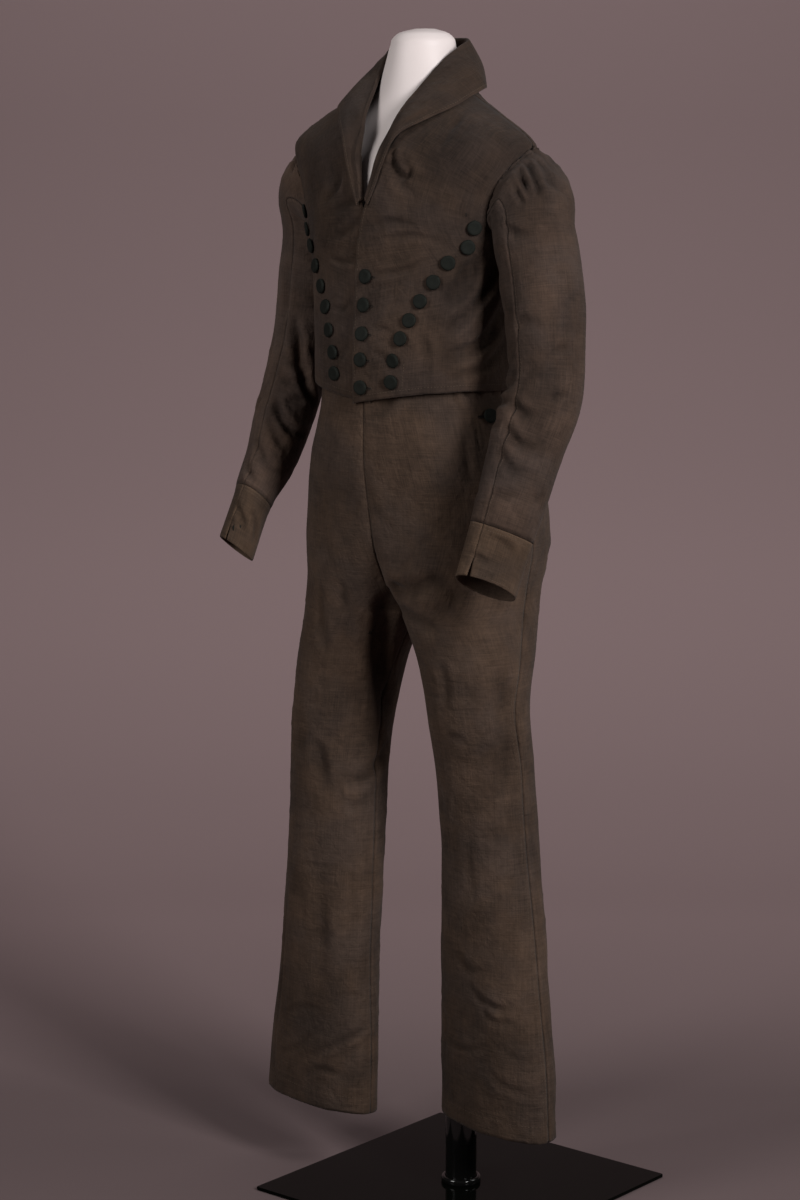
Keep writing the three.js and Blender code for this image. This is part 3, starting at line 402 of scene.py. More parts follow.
def collar_point(u, w):
    """u: array of places along the collar; w: array of places up and over it. Returns w by u points."""
    u, w = np.atleast_1d(np.asarray(u, float)), np.atleast_1d(np.asarray(w, float))
    knots = collar_section(np.abs(u))                      # knot, u, xyz
    p = np.zeros((len(w), len(u), 3))
    for i in range(len(u)):
        for k in range(3):
            p[:, i, k] = column({"w": ROLL, "v": knots[:, i, k]}, "w", "v")(w)
    t, over = np.abs(u)[None, :, None], w[:, None, None]
    gap = 2.4 + 2.8 * (1 - smooth(20, 62, p[..., 0] - MID))
    share = smooth(0.42, 0.48, t) * mix(smooth(0.56, 0.76, over), 1, smooth(0.58, 0.66, t)) * (over > 0.5)
    p = mix(p, clear_of_body(p, gap), share)
    return np.where(u[None, :, None] > 0, mirror(p), p)


# ---------------------------------------------------------------- trousers
hips = columns(HIPS, "z", "half", "front", "back", "mid", "wrapFront", "wrapBack")
LEGS = {"left": columns(LEG_LEFT, "z", "x", "mid", "half", "front", "back", "turn"),
        "right": columns(LEG_RIGHT, "z", "x", "mid", "half", "front", "back", "turn")}


def trouser_point(side, front, u, z):
    u, z = np.broadcast_arrays(np.asarray(u, float), np.asarray(z, float))
    sign, leg = (1 if side == "left" else -1), LEGS[side]
    wrap, half = (hips["wrapFront"] if front else hips["wrapBack"])(z), hips["half"](z)
    w = np.where(wrap > 90, half / (1 - power(np.cos(rad(wrap)), HIP_SQUARE)), half)
    a = rad(u * wrap)
    deep = -hips["front"](z) if front else hips["back"](z)
    hip = pt(MID + sign * (half - w + w * power(np.cos(a), HIP_SQUARE)), hips["mid"](z) + deep * power(np.sin(a), HIP_SQUARE), z)
    a, t, n = rad(u * 180), rad(leg["turn"](z)), mix(LEG_SQUARE, HIP_SQUARE, smooth(690, 815, z))
    dx = leg["half"](z) * power(np.cos(a), n)
    dy = (-leg["front"](z) if front else leg["back"](z)) * power(np.sin(a), n)
    low = pt(MID + sign * (leg["x"](z) + dx * np.cos(t) - dy * np.sin(t)), leg["mid"](z) + dx * np.sin(t) + dy * np.cos(t), z)
    return np.where((z >= CROTCH)[..., None], hip, low)


def grid_normals(p):
    du = np.gradient(p, axis=1)
    dv = np.gradient(p, axis=0)
    return unit(np.cross(du, dv))


# ---------------------------------------------------------------- the camera, which also places creases
CAM_AT, CAM_AZ, CAM_DOWN, CAM_F = np.array([2.600, -3.236, 1.552]) * 1000, 40.0, 9.5, 3000.0
_a, _d = math.radians(CAM_AZ), math.radians(CAM_DOWN)
CAM_LOOK = np.array([-math.sin(_a) * math.cos(_d), math.cos(_a) * math.cos(_d), -math.sin(_d)])
CAM_RIGHT = np.array([math.cos(_a), math.sin(_a), 0.0])
CAM_UP = np.cross(CAM_RIGHT, CAM_LOOK)


def tree_of(*names):
    """A search tree over CAD nodes, in millimetres of the cloth's own tables."""
    points, polys, n = [], [], 0
    for name in names:
        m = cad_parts[name].data
        points += [Vector((v.co.x * 1000, v.co.y * 1000, v.co.z * 1000 - LIFT)) for v in m.vertices]
        polys += [tuple(i + n for i in p.vertices) for p in m.polygons]
        n = len(points)
    return BVHTree.FromPolygons(points, polys)


def seen(tree, x, y, near_side=False):
    """Where the camera sees the pixel (x, y) of its 800 by 1200 frame on those nodes, or None."""
    d = CAM_LOOK * CAM_F + CAM_RIGHT * (x - 400) + CAM_UP * (600 - y)
    d = d / np.linalg.norm(d)
    hit = tree.ray_cast(Vector(CAM_AT - np.array([0, 0, LIFT])), Vector(d))
    if hit[0] is None:
        return None
    p = np.array(hit[0])
    # a ray through the neck or an armhole would land on the far side, which is no place for it
    if near_side and (p[0] - MID) * CAM_LOOK[0] + p[1] * CAM_LOOK[1] > -25:
        return None
    return p


# ---------------------------------------------------------------- smooth noise, the same at every run
def _hash(i, j, k, seed):
    h = (i * 73856093) ^ (j * 19349663) ^ (k * 83492791) ^ (seed * 2654435761)
    h = (h ^ (h >> 13)) * 1274126177 & 0xFFFFFFFF
    return ((h ^ (h >> 16)) & 0xFFFF) / 32767.5 - 1


def noise(p, size, seed):
    """Smooth noise from -1 to 1 with features of `size` (one number or three) at points p."""
    q = p / np.asarray(size, float) + seed * 17.31
    i = np.floor(q).astype(np.int64)
    f = q - i
    f = f * f * f * (f * (f * 6 - 15) + 10)
    total = 0
    for a in (0, 1):
        for b in (0, 1):
            for c in (0, 1):
                w = (f[..., 0] if a else 1 - f[..., 0]) * (f[..., 1] if b else 1 - f[..., 1]) * (f[..., 2] if c else 1 - f[..., 2])
                total = total + w * _hash(i[..., 0] + a, i[..., 1] + b, i[..., 2] + c, seed)
    return total


# ---------------------------------------------------------------- creases
CREASES = []      # each: group, samples (n, 3), taper (n), depth, width, lip


def polyline(points, step=3.0):
    """A smooth line through points, sampled about every `step` millimetres."""
    p = np.array(points, float)
    if len(p) == 1:
        return p
    s = np.concatenate([[0], np.cumsum(np.linalg.norm(np.diff(p, axis=0), axis=1))])
    n = max(4, int(s[-1] / step))
    t = np.linspace(0, s[-1], n)
    if len(p) > 2:
        return np.stack([column({"s": s, "v": p[:, k]}, "s", "v")(t) for k in range(3)], -1)
    return np.stack([np.interp(t, s, p[:, k]) for k in range(3)], -1)


def crease(group, points, depth, width, lip=0.35, ends="both"):
    """A trough `depth` deep (a ridge if negative) and `width` across, fading at its ends, with raised lips."""
    points = [p for p in points if p is not None]
    if len(points) < 2:
        return
    q = polyline(points)
    t = np.linspace(0, 1, len(q))
    taper = {"both": np.sin(np.pi * t) ** 0.7, "out": (1 - t) ** 0.8, "in": t ** 0.8,
             "none": np.ones_like(t)}[ends]
    # a crease deepens and shallows along its run
    wobble = 1 + 0.22 * np.sin(2.1 * np.pi * t + q[0, 2] * 0.37) + 0.12 * np.sin(5.3 * np.pi * t + q[0, 0])
    CREASES.append((group, q, taper * wobble, depth, width, lip))


def creased(group, P, N):
    """How far the creases of a group move each point along its normal."""
    flat, nrm = P.reshape(-1, 3), N.reshape(-1, 3)
    D = np.zeros(len(flat))
    for g, q, taper, depth, width, lip in CREASES:
        if g != group:
            continue
        reach = width * 3.4
        lo, hi = q.min(0) - reach, q.max(0) + reach
        near = np.nonzero(((flat > lo) & (flat < hi)).all(1))[0]
        if not len(near):
            continue
        tangent = unit(np.gradient(q, axis=0))
        for part in np.array_split(near, max(1, len(near) * len(q) // 2000000 + 1)):
            v, n = flat[part], nrm[part]
            d = v[:, None, :] - q[None, :, :]
            r2 = (d * d).sum(-1)
            best = r2.argmin(1)
            r = np.sqrt(r2[np.arange(len(part)), best])
            b = np.cross(n, tangent[best])
            side = np.sign((d[np.arange(len(part)), best] * b).sum(-1))
            s = r / width
            shape = -np.exp(-s * s * 1.6) + lip * (np.exp(-((s - 1.55) / 0.75) ** 2) * np.where(side > 0, 1.0, 0.45))
            D[part] += depth * taper[best] * shape * (r < reach)
    return D.reshape(P.shape[:2])


def crumple(P, amount=1.0, seed=0, lengthwise=1.5):
    """The old linen's uneven lie: long slow swells, then short sharp wrinkles in patches."""
    size = np.array([1.0, 1.0, lengthwise])
    slow = noise(P, 62 * size, 3 + seed) * 1.5 + noise(P, 34 * size, 5 + seed) * 0.85
    patch = np.clip(0.5 + 0.9 * noise(P, 70 * size, 11 + seed), 0, 1)
    a, b = noise(P, 21 * size, 23 + seed), noise(P, 12 * size, 31 + seed)
    sharp = ((1 - np.abs(a)) ** 4 - 0.25) * 0.95 * patch + ((1 - np.abs(b)) ** 4 - 0.25) * 0.38 * patch
    return amount * (slow + sharp)


# ---------------------------------------------------------------- mesh pieces
PIECES = {}       # name: {"P", "N", "D", "ob", "P0", "dist"} outer grid after shaping, its normals, shifts and object, the grid before shaping, and its distances to the edges


def arc(P, axis):
    d = np.linalg.norm(np.diff(P, axis=axis), axis=-1)
    z = np.zeros_like(np.take(d, [0], axis=axis))
    return np.concatenate([z, np.cumsum(d, axis=axis)], axis=axis)


def mesh_object(name, verts_mm, faces, uv=None, tone=None, smooth_faces=True, lift=LIFT):
    v = np.asarray(verts_mm, float) / 1000
    v = v + np.array([0, 0, lift / 1000])
    me = bpy.data.meshes.new(name)
    me.from_pydata(v.tolist(), [], faces)
    if uv is not None:
        layer = me.uv_layers.new(name="UVMap")
        loops = np.zeros(len(me.loops), int)
        me.loops.foreach_get("vertex_index", loops)
        layer.data.foreach_set("uv", np.asarray(uv, np.float32)[loops].ravel())
    if tone is not None:
        for key, values in tone.items():
            a = me.attributes.new(key, "FLOAT", "POINT")
            a.data.foreach_set("value", np.asarray(values, np.float32))
    if smooth_faces:
        me.polygons.foreach_set("use_smooth", np.ones(len(me.polygons), bool))
    me.update()
    ob = bpy.data.objects.new(name, me)
    bpy.context.scene.collection.objects.link(ob)
    return ob


def wall(name, P, N, thick, tone, closed=False):
    """A cloth wall: the outer grid P, the inner one `thick` behind it, and the cut edges between them."""
    nv, nu = P.shape[:2]
    Q = P - N * thick
    verts = np.concatenate([P.reshape(-1, 3), Q.reshape(-1, 3)])
    ids = np.arange(nv * nu).reshape(nv, nu)
    a, b, c, d = ids[:-1, :-1], ids[:-1, 1:], ids[1:, 1:], ids[1:, :-1]
    face = np.stack([a, b, c, d], -1).reshape(-1, 4)
    # outward test on the middle faces
    m = face[len(face) // 2]
    g = np.cross(P.reshape(-1, 3)[m[1]] - P.reshape(-1, 3)[m[0]], P.reshape(-1, 3)[m[3]] - P.reshape(-1, 3)[m[0]])
    if (g * N.reshape(-1, 3)[m[0]]).sum() < 0:
        face = face[:, ::-1]
    inner = face[:, ::-1] + nv * nu
    rim = []
    around = np.concatenate([ids[0, :], ids[1:, -1], ids[-1, -2::-1], ids[-2:0:-1, 0]])
    nxt = np.roll(around, -1)
    off = nv * nu
    quad = np.stack([around, nxt, nxt + off, around + off], -1)
    # the rim faces out: compare with the direction away from the grid's inside
    p0, p1 = P.reshape(-1, 3)[quad[0, 0]], P.reshape(-1, 3)[quad[0, 1]]
    inside = P[1, min(1, nu - 1)]
    nr = np.cross(p1 - p0, Q.reshape(-1, 3)[quad[0, 0]] - p0)
    if (nr * (p0 - inside)).sum() < 0:
        quad = quad[:, ::-1]
    faces = np.concatenate([face, inner, quad]).tolist()
    S, T = arc(P, 1), arc(P, 0)
    mid = nu // 2
    S = S - S[:, mid:mid + 1]
    T = np.repeat(T[:, mid:mid + 1], nu, axis=1)
    uv = np.stack([S / 1000, T / 1000], -1).reshape(-1, 2)
    uv = np.concatenate([uv, uv + np.array([0.37, 0.11])])
    values = {k: np.concatenate([v.ravel(), v.ravel()]) for k, v in tone.items()}
    values["inside"] = np.concatenate([np.zeros(off), np.ones(off)])
    ob = mesh_object(name, verts, faces, uv, values)
    return ob


def toned_with_painted_shade(P, D, N, edge_wear=None):
    """Painted highlight where the cloth stands proud, painted shade where it sinks, and lighter where it is worn."""
    # painted shade in the troughs of creases and seams, painted highlight on their swells
    t = 1 + np.clip(D, -4.5, 4) * 0.052
    t = t + 0.075 * noise(P, 46, 71) + 0.055 * noise(P, (16, 16, 30), 83)
    if edge_wear is not None:
        t = t + edge_wear
    return t


def edge_distance(P):
    """Millimetres from each grid point to the piece's nearest edge, along the cloth, for each of four edges."""
    S, T = arc(P, 1), arc(P, 0)
    return {"u0": S, "u1": S[:, -1:] - S, "v0": T, "v1": T[-1:, :] - T}


def room(tree, P, N, thick, spare=0.5):
    """How far each point may sink before the cloth's inner face meets what is under it."""
    out = np.full(P.shape[:2], 30.0)
    for j in range(P.shape[0]):
        for i in range(P.shape[1]):
            hit = tree.ray_cast(Vector(P[j, i]), Vector(-N[j, i]), 12.0)
            if hit[0] is not None:
                out[j, i] = max(0.0, hit[3] - thick - spare)
    return out


def piece(name, P, N, group, edges, amount=1.0, seed=0, thick=CLOTH, extra=None, limit=None, replaces=None, material=None,
          tone_extra=None, keep_off=None):
    """Shapes one cloth piece and builds it. `edges` gives, for each edge, how it is finished: sewn, turned or loose."""
    dist = edge_distance(P)
    calm = np.ones(P.shape[:2])
    for e, how in edges.items():
        if how in ("sewn", "cuffed"):
            calm *= mix(0.25, 1, smooth(0, 14, dist[e]))
    D = creased(group, P, N) + crumple(P, amount, seed) * calm
    if extra is not None:
        D = D + extra(P, N, dist)
    if limit is not None:
        lo, hi = limit(P)
        if keep_off is not None:
            lo = np.maximum(lo, -room(keep_off, P, N, thick))
        D = np.clip(D, lo, np.maximum(hi, lo))
    # a sewn edge sinks into its seam, and the cloth swells a little beside it
    for e, how in edges.items():
        d = dist[e]
        if how == "sewn":
            D = D - 0.5 * np.exp(-(d / 1.3) ** 2) + 0.3 * np.exp(-((d - 5) / 3.0) ** 2)
            pucker = np.sin(arc(P, 0 if e[0] == "u" else 1) * (2 * np.pi / 13.0) + 3 * noise(P, 40, 9)) * 0.22
            D = D + pucker * np.exp(-((d - 4) / 4.0) ** 2)
        elif how == "turned":
            D = D - 0.5 * np.exp(-(d / 1.2) ** 2)
    P2 = P + N * D[..., None]
    N2 = grid_normals(P2)
    flipped = np.sign((N2 * N).sum(-1).mean())
    N2 = N2 * (flipped if flipped else 1)
    worn = np.zeros(P.shape[:2])
    for e, how in edges.items():
        if how in ("turned", "cuffed"):
            worn = worn + (0.30 + 0.14 * noise(P, 22, 93)) * np.exp(-(dist[e] / 2.4) ** 2)
        elif how == "sewn":
            worn = worn - 0.05 * np.exp(-(dist[e] / 1.1) ** 2) + (0.14 + 0.10 * noise(P, 26, 97)) * np.exp(-((dist[e] - 3) / 1.8) ** 2)
    tone = toned_with_painted_shade(P2, D, N2, worn)
    if tone_extra is not None:
        tone = tone + tone_extra(P2, dist)
    ob = wall(name, P2, N2, thick, {"tone": tone})
    PIECES[name] = {"P": P2, "N": N2, "D": D, "ob": ob, "P0": P, "dist": dist}
    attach(ob, "root")
    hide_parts(replaces or name.replace("cloth_", ""))
    if material is not None:
        ob.data.materials.append(material)
    return ob


def on_piece(name, s, t):
    """Point and normal of a piece at grid place (s across, t along), both 0 to 1."""
    g = PIECES[name]
    nv, nu = g["P"].shape[:2]
    x, y = np.clip(np.asarray(s, float), 0, 1) * (nu - 1), np.clip(np.asarray(t, float), 0, 1) * (nv - 1)
    i, j = np.minimum(x.astype(int), nu - 2), np.minimum(y.astype(int), nv - 2)
    fx, fy = (x - i)[..., None], (y - j)[..., None]
    out = []
    for k in ("P", "N"):
        a = g[k]
        out.append((a[j, i] * (1 - fx) + a[j, i + 1] * fx) * (1 - fy) + (a[j + 1, i] * (1 - fx) + a[j + 1, i + 1] * fx) * fy)
    return out[0], unit(out[1])


def fine_tree(*names):
    points, polys, n = [], [], 0
    for name in names:
        P = PIECES[name]["P"]
        nv, nu = P.shape[:2]
        ids = np.arange(nv * nu).reshape(nv, nu) + n
        points += [Vector(p) for p in P.reshape(-1, 3)]
        polys += np.stack([ids[:-1, :-1], ids[:-1, 1:], ids[1:, 1:], ids[1:, :-1]], -1).reshape(-1, 4).tolist()
        n = len(points)
    return BVHTree.FromPolygons(points, polys)


def settle(tree, p, n, out=0.0):
    """The place on a fine surface nearest to p, and its normal turned the way of n."""
    hit = tree.find_nearest(Vector(p))
    if hit[0] is None:
        return np.array(p, float), np.array(n, float)
    m = np.array(hit[1])
    m = m if (m * n).sum() > 0 else -m
    return np.array(hit[0]) + m * out, m


# ---------------------------------------------------------------- stitches, one low grain each
class Thread:
    def __init__(self, name, material, slot="linen"):
        self.name, self.material, self.v, self.f, self.slot = name, material, [], [], slot

    def stitch(self, a, b, n, r, sink=0.35):
        """One stitch from a to b lying on a surface with normal n."""
        a, b = np.asarray(a, float), np.asarray(b, float)
        t = unit(b - a)
        s = unit(np.cross(n, t))
        base, k = len(self.v), 6
        for f, w in ((0.0, 0.35), (0.2, 0.9), (0.5, 1.0), (0.8, 0.9), (1.0, 0.35)):
            c = a + (b - a) * f + n * (r * (0.2 + 0.5 * math.sin(math.pi * f)) - sink * r)
            for i in range(k):
                q = 2 * math.pi * i / k
                self.v.append(c + s * (r * w * math.cos(q)) + n * (r * w * 0.8 * math.sin(q)))
        for j in range(4):
            for i in range(k):
                i2 = (i + 1) % k
                self.f.append((base + j * k + i, base + j * k + i2, base + (j + 1) * k + i2, base + (j + 1) * k + i))
        self.f.append(tuple(base + i for i in reversed(range(k))))
        self.f.append(tuple(base + 4 * k + i for i in range(k)))

    def run(self, P, N, long=3.0, gap=1.2, r=0.34, seed=1, ragged=0.25):
        """A row of stitches along a line on the cloth."""
        s = np.concatenate([[0], np.cumsum(np.linalg.norm(np.diff(P, axis=0), axis=1))])
        rng = np.random.default_rng(seed)
        x = 0.5
        while x + long < s[-1]:
            l = long * (1 + ragged * (rng.random() - 0.5))
            pa = np.array([np.interp(x, s, P[:, k]) for k in range(3)])
            pb = np.array([np.interp(x + l, s, P[:, k]) for k in range(3)])
            n = unit(np.array([np.interp(x + l / 2, s, N[:, k]) for k in range(3)]))
            wob = np.cross(n, unit(pb - pa)) * (rng.random() - 0.5) * 0.35
            self.stitch(pa + wob, pb - wob, n, r)
            x += l + gap * (1 + ragged * (rng.random() - 0.5))

    def build(self):
        if not self.v:
            return None
        ob = mesh_object(self.name, np.array(self.v), self.f)
        # the stitches of one row hold together as one piece
        ob.data.materials.append(self.material)
        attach(ob, "root")
        return ob


# ---------------------------------------------------------------- materials
class Nodes:
    """Builds a node tree: each call makes a node, links sockets and sets plain values."""
    def __init__(self, name):
        self.mat = bpy.data.materials.new(name)
        self.mat.use_nodes = True
        self.nt = self.mat.node_tree
        self.bsdf = self.nt.nodes["Principled BSDF"]

    def put(self, socket, value):
        if isinstance(value, bpy.types.NodeSocket):
            self.nt.links.new(value, socket)
        else:
            socket.default_value = value

    def node(self, kind, props=None, **inputs):
        n = self.nt.nodes.new(kind)
        for k, v in (props or {}).items():
            setattr(n, k, v)
        for k, v in inputs.items():
            key = k.replace("_", " ")
            found = [s for s in n.inputs if s.name == key and s.enabled]
            self.put(found[0] if found else n.inputs[int(k[1:])], v)
        return n

    def math(self, op, a, b=0.0, clamp=False):
        n = self.nt.nodes.new("ShaderNodeMath")
        n.operation, n.use_clamp = op, clamp
        self.put(n.inputs[0], a)
        self.put(n.inputs[1], b)
        return n.outputs[0]

    def colour(self, mode, fac, a, b):
        n = self.nt.nodes.new("ShaderNodeMix")
        n.data_type, n.blend_type = "RGBA", mode
        self.put(n.inputs[0], fac)
        self.put(n.inputs[6], a)
        self.put(n.inputs[7], b)
        return n.outputs[2]

    def coords(self, kind="Object"):
        return self.nt.nodes.new("ShaderNodeTexCoord").outputs[kind]

    def scaled(self, vector, scale, rotation=(0, 0, 0)):
        return self.node("ShaderNodeMapping", Vector=vector, Scale=scale, Rotation=rotation).outputs[0]

    def noise(self, vector, scale=1.0, detail=2.0, rough=0.5, warp=0.0):
        return self.node("ShaderNodeTexNoise", Vector=vector, Scale=scale, Detail=detail, Roughness=rough, Distortion=warp).outputs[0]

    def ramp(self, value, a, b, c=0.0, d=1.0):
        n = self.nt.nodes.new("ShaderNodeMapRange")
        n.interpolation_type = "SMOOTHSTEP"
        for i, v in enumerate((value, a, b, c, d)):
            self.put(n.inputs[i], v)
        return n.outputs[0]

    def grey(self, value):
        n = self.nt.nodes.new("ShaderNodeCombineColor")
        for i in range(3):
            self.put(n.inputs[i], value)
        return n.outputs[0]

    def attribute(self, name):
        n = self.nt.nodes.new("ShaderNodeAttribute")
        n.attribute_name = name
        return n.outputs["Fac"]


def linen(name, base, grey, weave=1.0, contrast=1.0):
    """Old plain-weave linen: uneven slubby threads both ways, mottled fading, a soft nap."""
    m = Nodes(name)
    uv, ob = m.coords("UV"), m.coords("Object")
    tone = m.attribute("tone")
    # threads: thick and thin ones, long streaks along each
    warp = m.noise(m.scaled(uv, (620, 16, 1)), 1, 2, 0.55)
    weft = m.noise(m.scaled(uv, (16, 620, 1)), 1, 2, 0.55)
    warp_fine = m.noise(m.scaled(uv, (1500, 70, 1)), 1, 1, 0.5)
    weft_fine = m.noise(m.scaled(uv, (70, 1500, 1)), 1, 1, 0.5)
    slub = m.math("ADD", m.math("MULTIPLY", warp, 0.5), m.math("MULTIPLY", weft, 0.5))
    fine = m.math("ADD", m.math("MULTIPLY", warp_fine, 0.5), m.math("MULTIPLY", weft_fine, 0.5))
    thick = m.ramp(m.noise(m.scaled(uv, (9, 900, 1)), 1, 1, 0.5), 0.66, 0.76)      # a slub stands out here and there
    # fading and dirt, large to small
    cloud = m.noise(ob, 7.5, 4, 0.62, 0.4)
    blot = m.noise(ob, 26, 4, 0.6, 0.2)
    speck = m.noise(ob, 150, 3, 0.6)
    value = m.math("ADD", m.math("MULTIPLY", m.math("SUBTRACT", cloud, 0.5), 0.95 * contrast),
                   m.math("MULTIPLY", m.math("SUBTRACT", blot, 0.5), 0.75 * contrast))
    value = m.math("ADD", value, m.math("MULTIPLY", m.math("SUBTRACT", speck, 0.5), 0.35))
    value = m.math("ADD", value, m.math("MULTIPLY", m.math("SUBTRACT", slub, 0.5), 1.55))
    value = m.math("ADD", value, m.math("MULTIPLY", m.math("SUBTRACT", fine, 0.5), 0.8))
    value = m.math("ADD", value, m.math("MULTIPLY", thick, 0.16))
    # the tone attribute brings in painted shade in creases and hollows and painted light, besides wear, stains and
    # mottling
    value = m.math("MULTIPLY", m.math("ADD", value, 1.0), tone)
    hue = m.ramp(m.noise(ob, 11, 3, 0.6, 0.3), 0.36, 0.66)
    col = m.colour("MIX", hue, (*base, 1), (*grey, 1))
    col = m.colour("MULTIPLY", 1.0, col, m.grey(value))
    m.put(m.bsdf.inputs["Base Color"], col)
    m.put(m.bsdf.inputs["Roughness"], m.math("ADD", 0.86, m.math("MULTIPLY", m.math("SUBTRACT", slub, 0.5), 0.3)))
    m.bsdf.inputs["Specular IOR Level"].default_value = 0.12
    m.bsdf.inputs["Sheen Weight"].default_value = 0.04
    m.bsdf.inputs["Sheen Roughness"].default_value = 0.55
    # plain weave: over and under, with the uneven threads on top, then the fine crumple
    x = m.node("ShaderNodeSeparateXYZ", Vector=uv)
    over = m.math("MULTIPLY", m.math("SINE", m.math("MULTIPLY", x.outputs[0], math.pi / 0.00075)),
                  m.math("SINE", m.math("MULTIPLY", x.outputs[1], math.pi / 0.00075)))
    height = m.math("MULTIPLY", over, 0.00006 * weave)
    height = m.math("ADD", height, m.math("MULTIPLY", slub, 0.00075 * weave))
    height = m.math("ADD", height, m.math("MULTIPLY", fine, 0.00022 * weave))
    height = m.math("ADD", height, m.math("MULTIPLY", thick, 0.0001 * weave))
    height = m.math("ADD", height, m.math("MULTIPLY", m.noise(ob, 105, 3, 0.55, 0.6), 0.0016))
    height = m.math("ADD", height, m.math("MULTIPLY", m.noise(ob, 45, 2, 0.5, 0.8), 0.0022))
    bump = m.node("ShaderNodeBump", Height=height)
    bump.inputs["Strength"].default_value = 1.0
    bump.inputs["Distance"].default_value = 1.0
    m.put(m.bsdf.inputs["Normal"], bump.outputs[0])
    return m.mat


def plain(name, colour, rough, bump_scale=600, bump_m=0.00004, vary=0.1, specular=0.5, rough_vary=0.08, patch=60):
    m = Nodes(name)
    ob = m.coords("Object")
    n = m.noise(ob, patch, 4, 0.6)
    value = m.math("ADD", 1.0, m.math("MULTIPLY", m.math("SUBTRACT", n, 0.5), vary * 2))
    m.put(m.bsdf.inputs["Base Color"], m.colour("MULTIPLY", 1.0, (*colour, 1), m.grey(value)))
    m.put(m.bsdf.inputs["Roughness"], m.math("ADD", rough, m.math("MULTIPLY", m.math("SUBTRACT", m.noise(ob, patch * 1.7, 3, 0.6), 0.5), rough_vary * 2)))
    m.bsdf.inputs["Specular IOR Level"].default_value = specular
    b = m.node("ShaderNodeBump", Height=m.math("MULTIPLY", m.noise(ob, bump_scale, 2, 0.5), bump_m))
    b.inputs["Strength"].default_value = 1.0
    b.inputs["Distance"].default_value = 1.0
    m.put(m.bsdf.inputs["Normal"], b.outputs[0])
    return m.mat


LINEN = linen("linen_jacket", (0.0475, 0.0297, 0.0208), (0.0420, 0.0280, 0.0222), contrast=1.25)
# the sleeves take a lighter copy of the jacket's linen: painted light for the light falling on them
LINEN_SLEEVE_PAINTED_LIGHTER = linen("linen_sleeves", (0.0575, 0.0362, 0.0264), (0.0500, 0.0342, 0.0278), contrast=1.25)
LINEN_LEGS = linen("linen_trousers", (0.0655, 0.0408, 0.0278), (0.0570, 0.0380, 0.0290), contrast=1.3)
LINEN_CUFF = linen("linen_cuffs", (0.0665, 0.0410, 0.0262), (0.0560, 0.0365, 0.0262), contrast=1.3)
THREAD = plain("thread", (0.098, 0.070, 0.050), 0.85, 900, 0.00008, 0.25, 0.2)
THREAD_WORKED = plain("thread_buttonholes", (0.030, 0.021, 0.016), 0.9, 900, 0.00008, 0.25, 0.2)
THREAD_DARK_AND_SLIT_SHADE = plain("thread_dark", (0.016, 0.012, 0.010), 0.9, 900, 0.00008, 0.25, 0.2)
HORN = plain("button_dark", (0.0075, 0.0088, 0.0068), 0.72, 900, 0.00016, 0.45, 0.16, 0.12, 190)
FORM_WHITE = plain("form_white", (0.80, 0.715, 0.70), 0.5, 240, 0.00005, 0.02, 0.4, 0.05, 12)
BLACK = plain("stand_gloss_black", (0.0065, 0.0062, 0.0060), 0.10, 30, 0.00002, 0.15, 0.55, 0.025, 9)
PLATE_BLACK = plain("plate_gloss_black", (0.0018, 0.0021, 0.0016), 0.08, 14, 0.00002, 0.15, 0.50, 0.03, 7)
# thin aged lacquer: it mirrors weakly even at a low angle
PLATE_BLACK.node_tree.nodes["Principled BSDF"].inputs["IOR"].default_value = 1.13


# ---------------------------------------------------------------- creases, placed on what carries them
CAD_TREES = {
    "jacket": tree_of("jacket_front_left", "jacket_front_right", "jacket_back_left", "jacket_back_right"),
    "sleeve_left": tree_of("sleeve_top_left", "sleeve_under_left"),
    "sleeve_right": tree_of("sleeve_top_right", "sleeve_under_right"),
    "cuff_left": tree_of("cuff_left"), "cuff_right": tree_of("cuff_right"),
    "collar": tree_of("collar"),
    "leg_left": tree_of("trouser_front_left", "trouser_back_left"),
    "leg_right": tree_of("trouser_front_right", "trouser_back_right"),
}
UNDER_JACKET, UNDER_LEGS = tree_of("form_torso"), tree_of("form_torso", "pole")
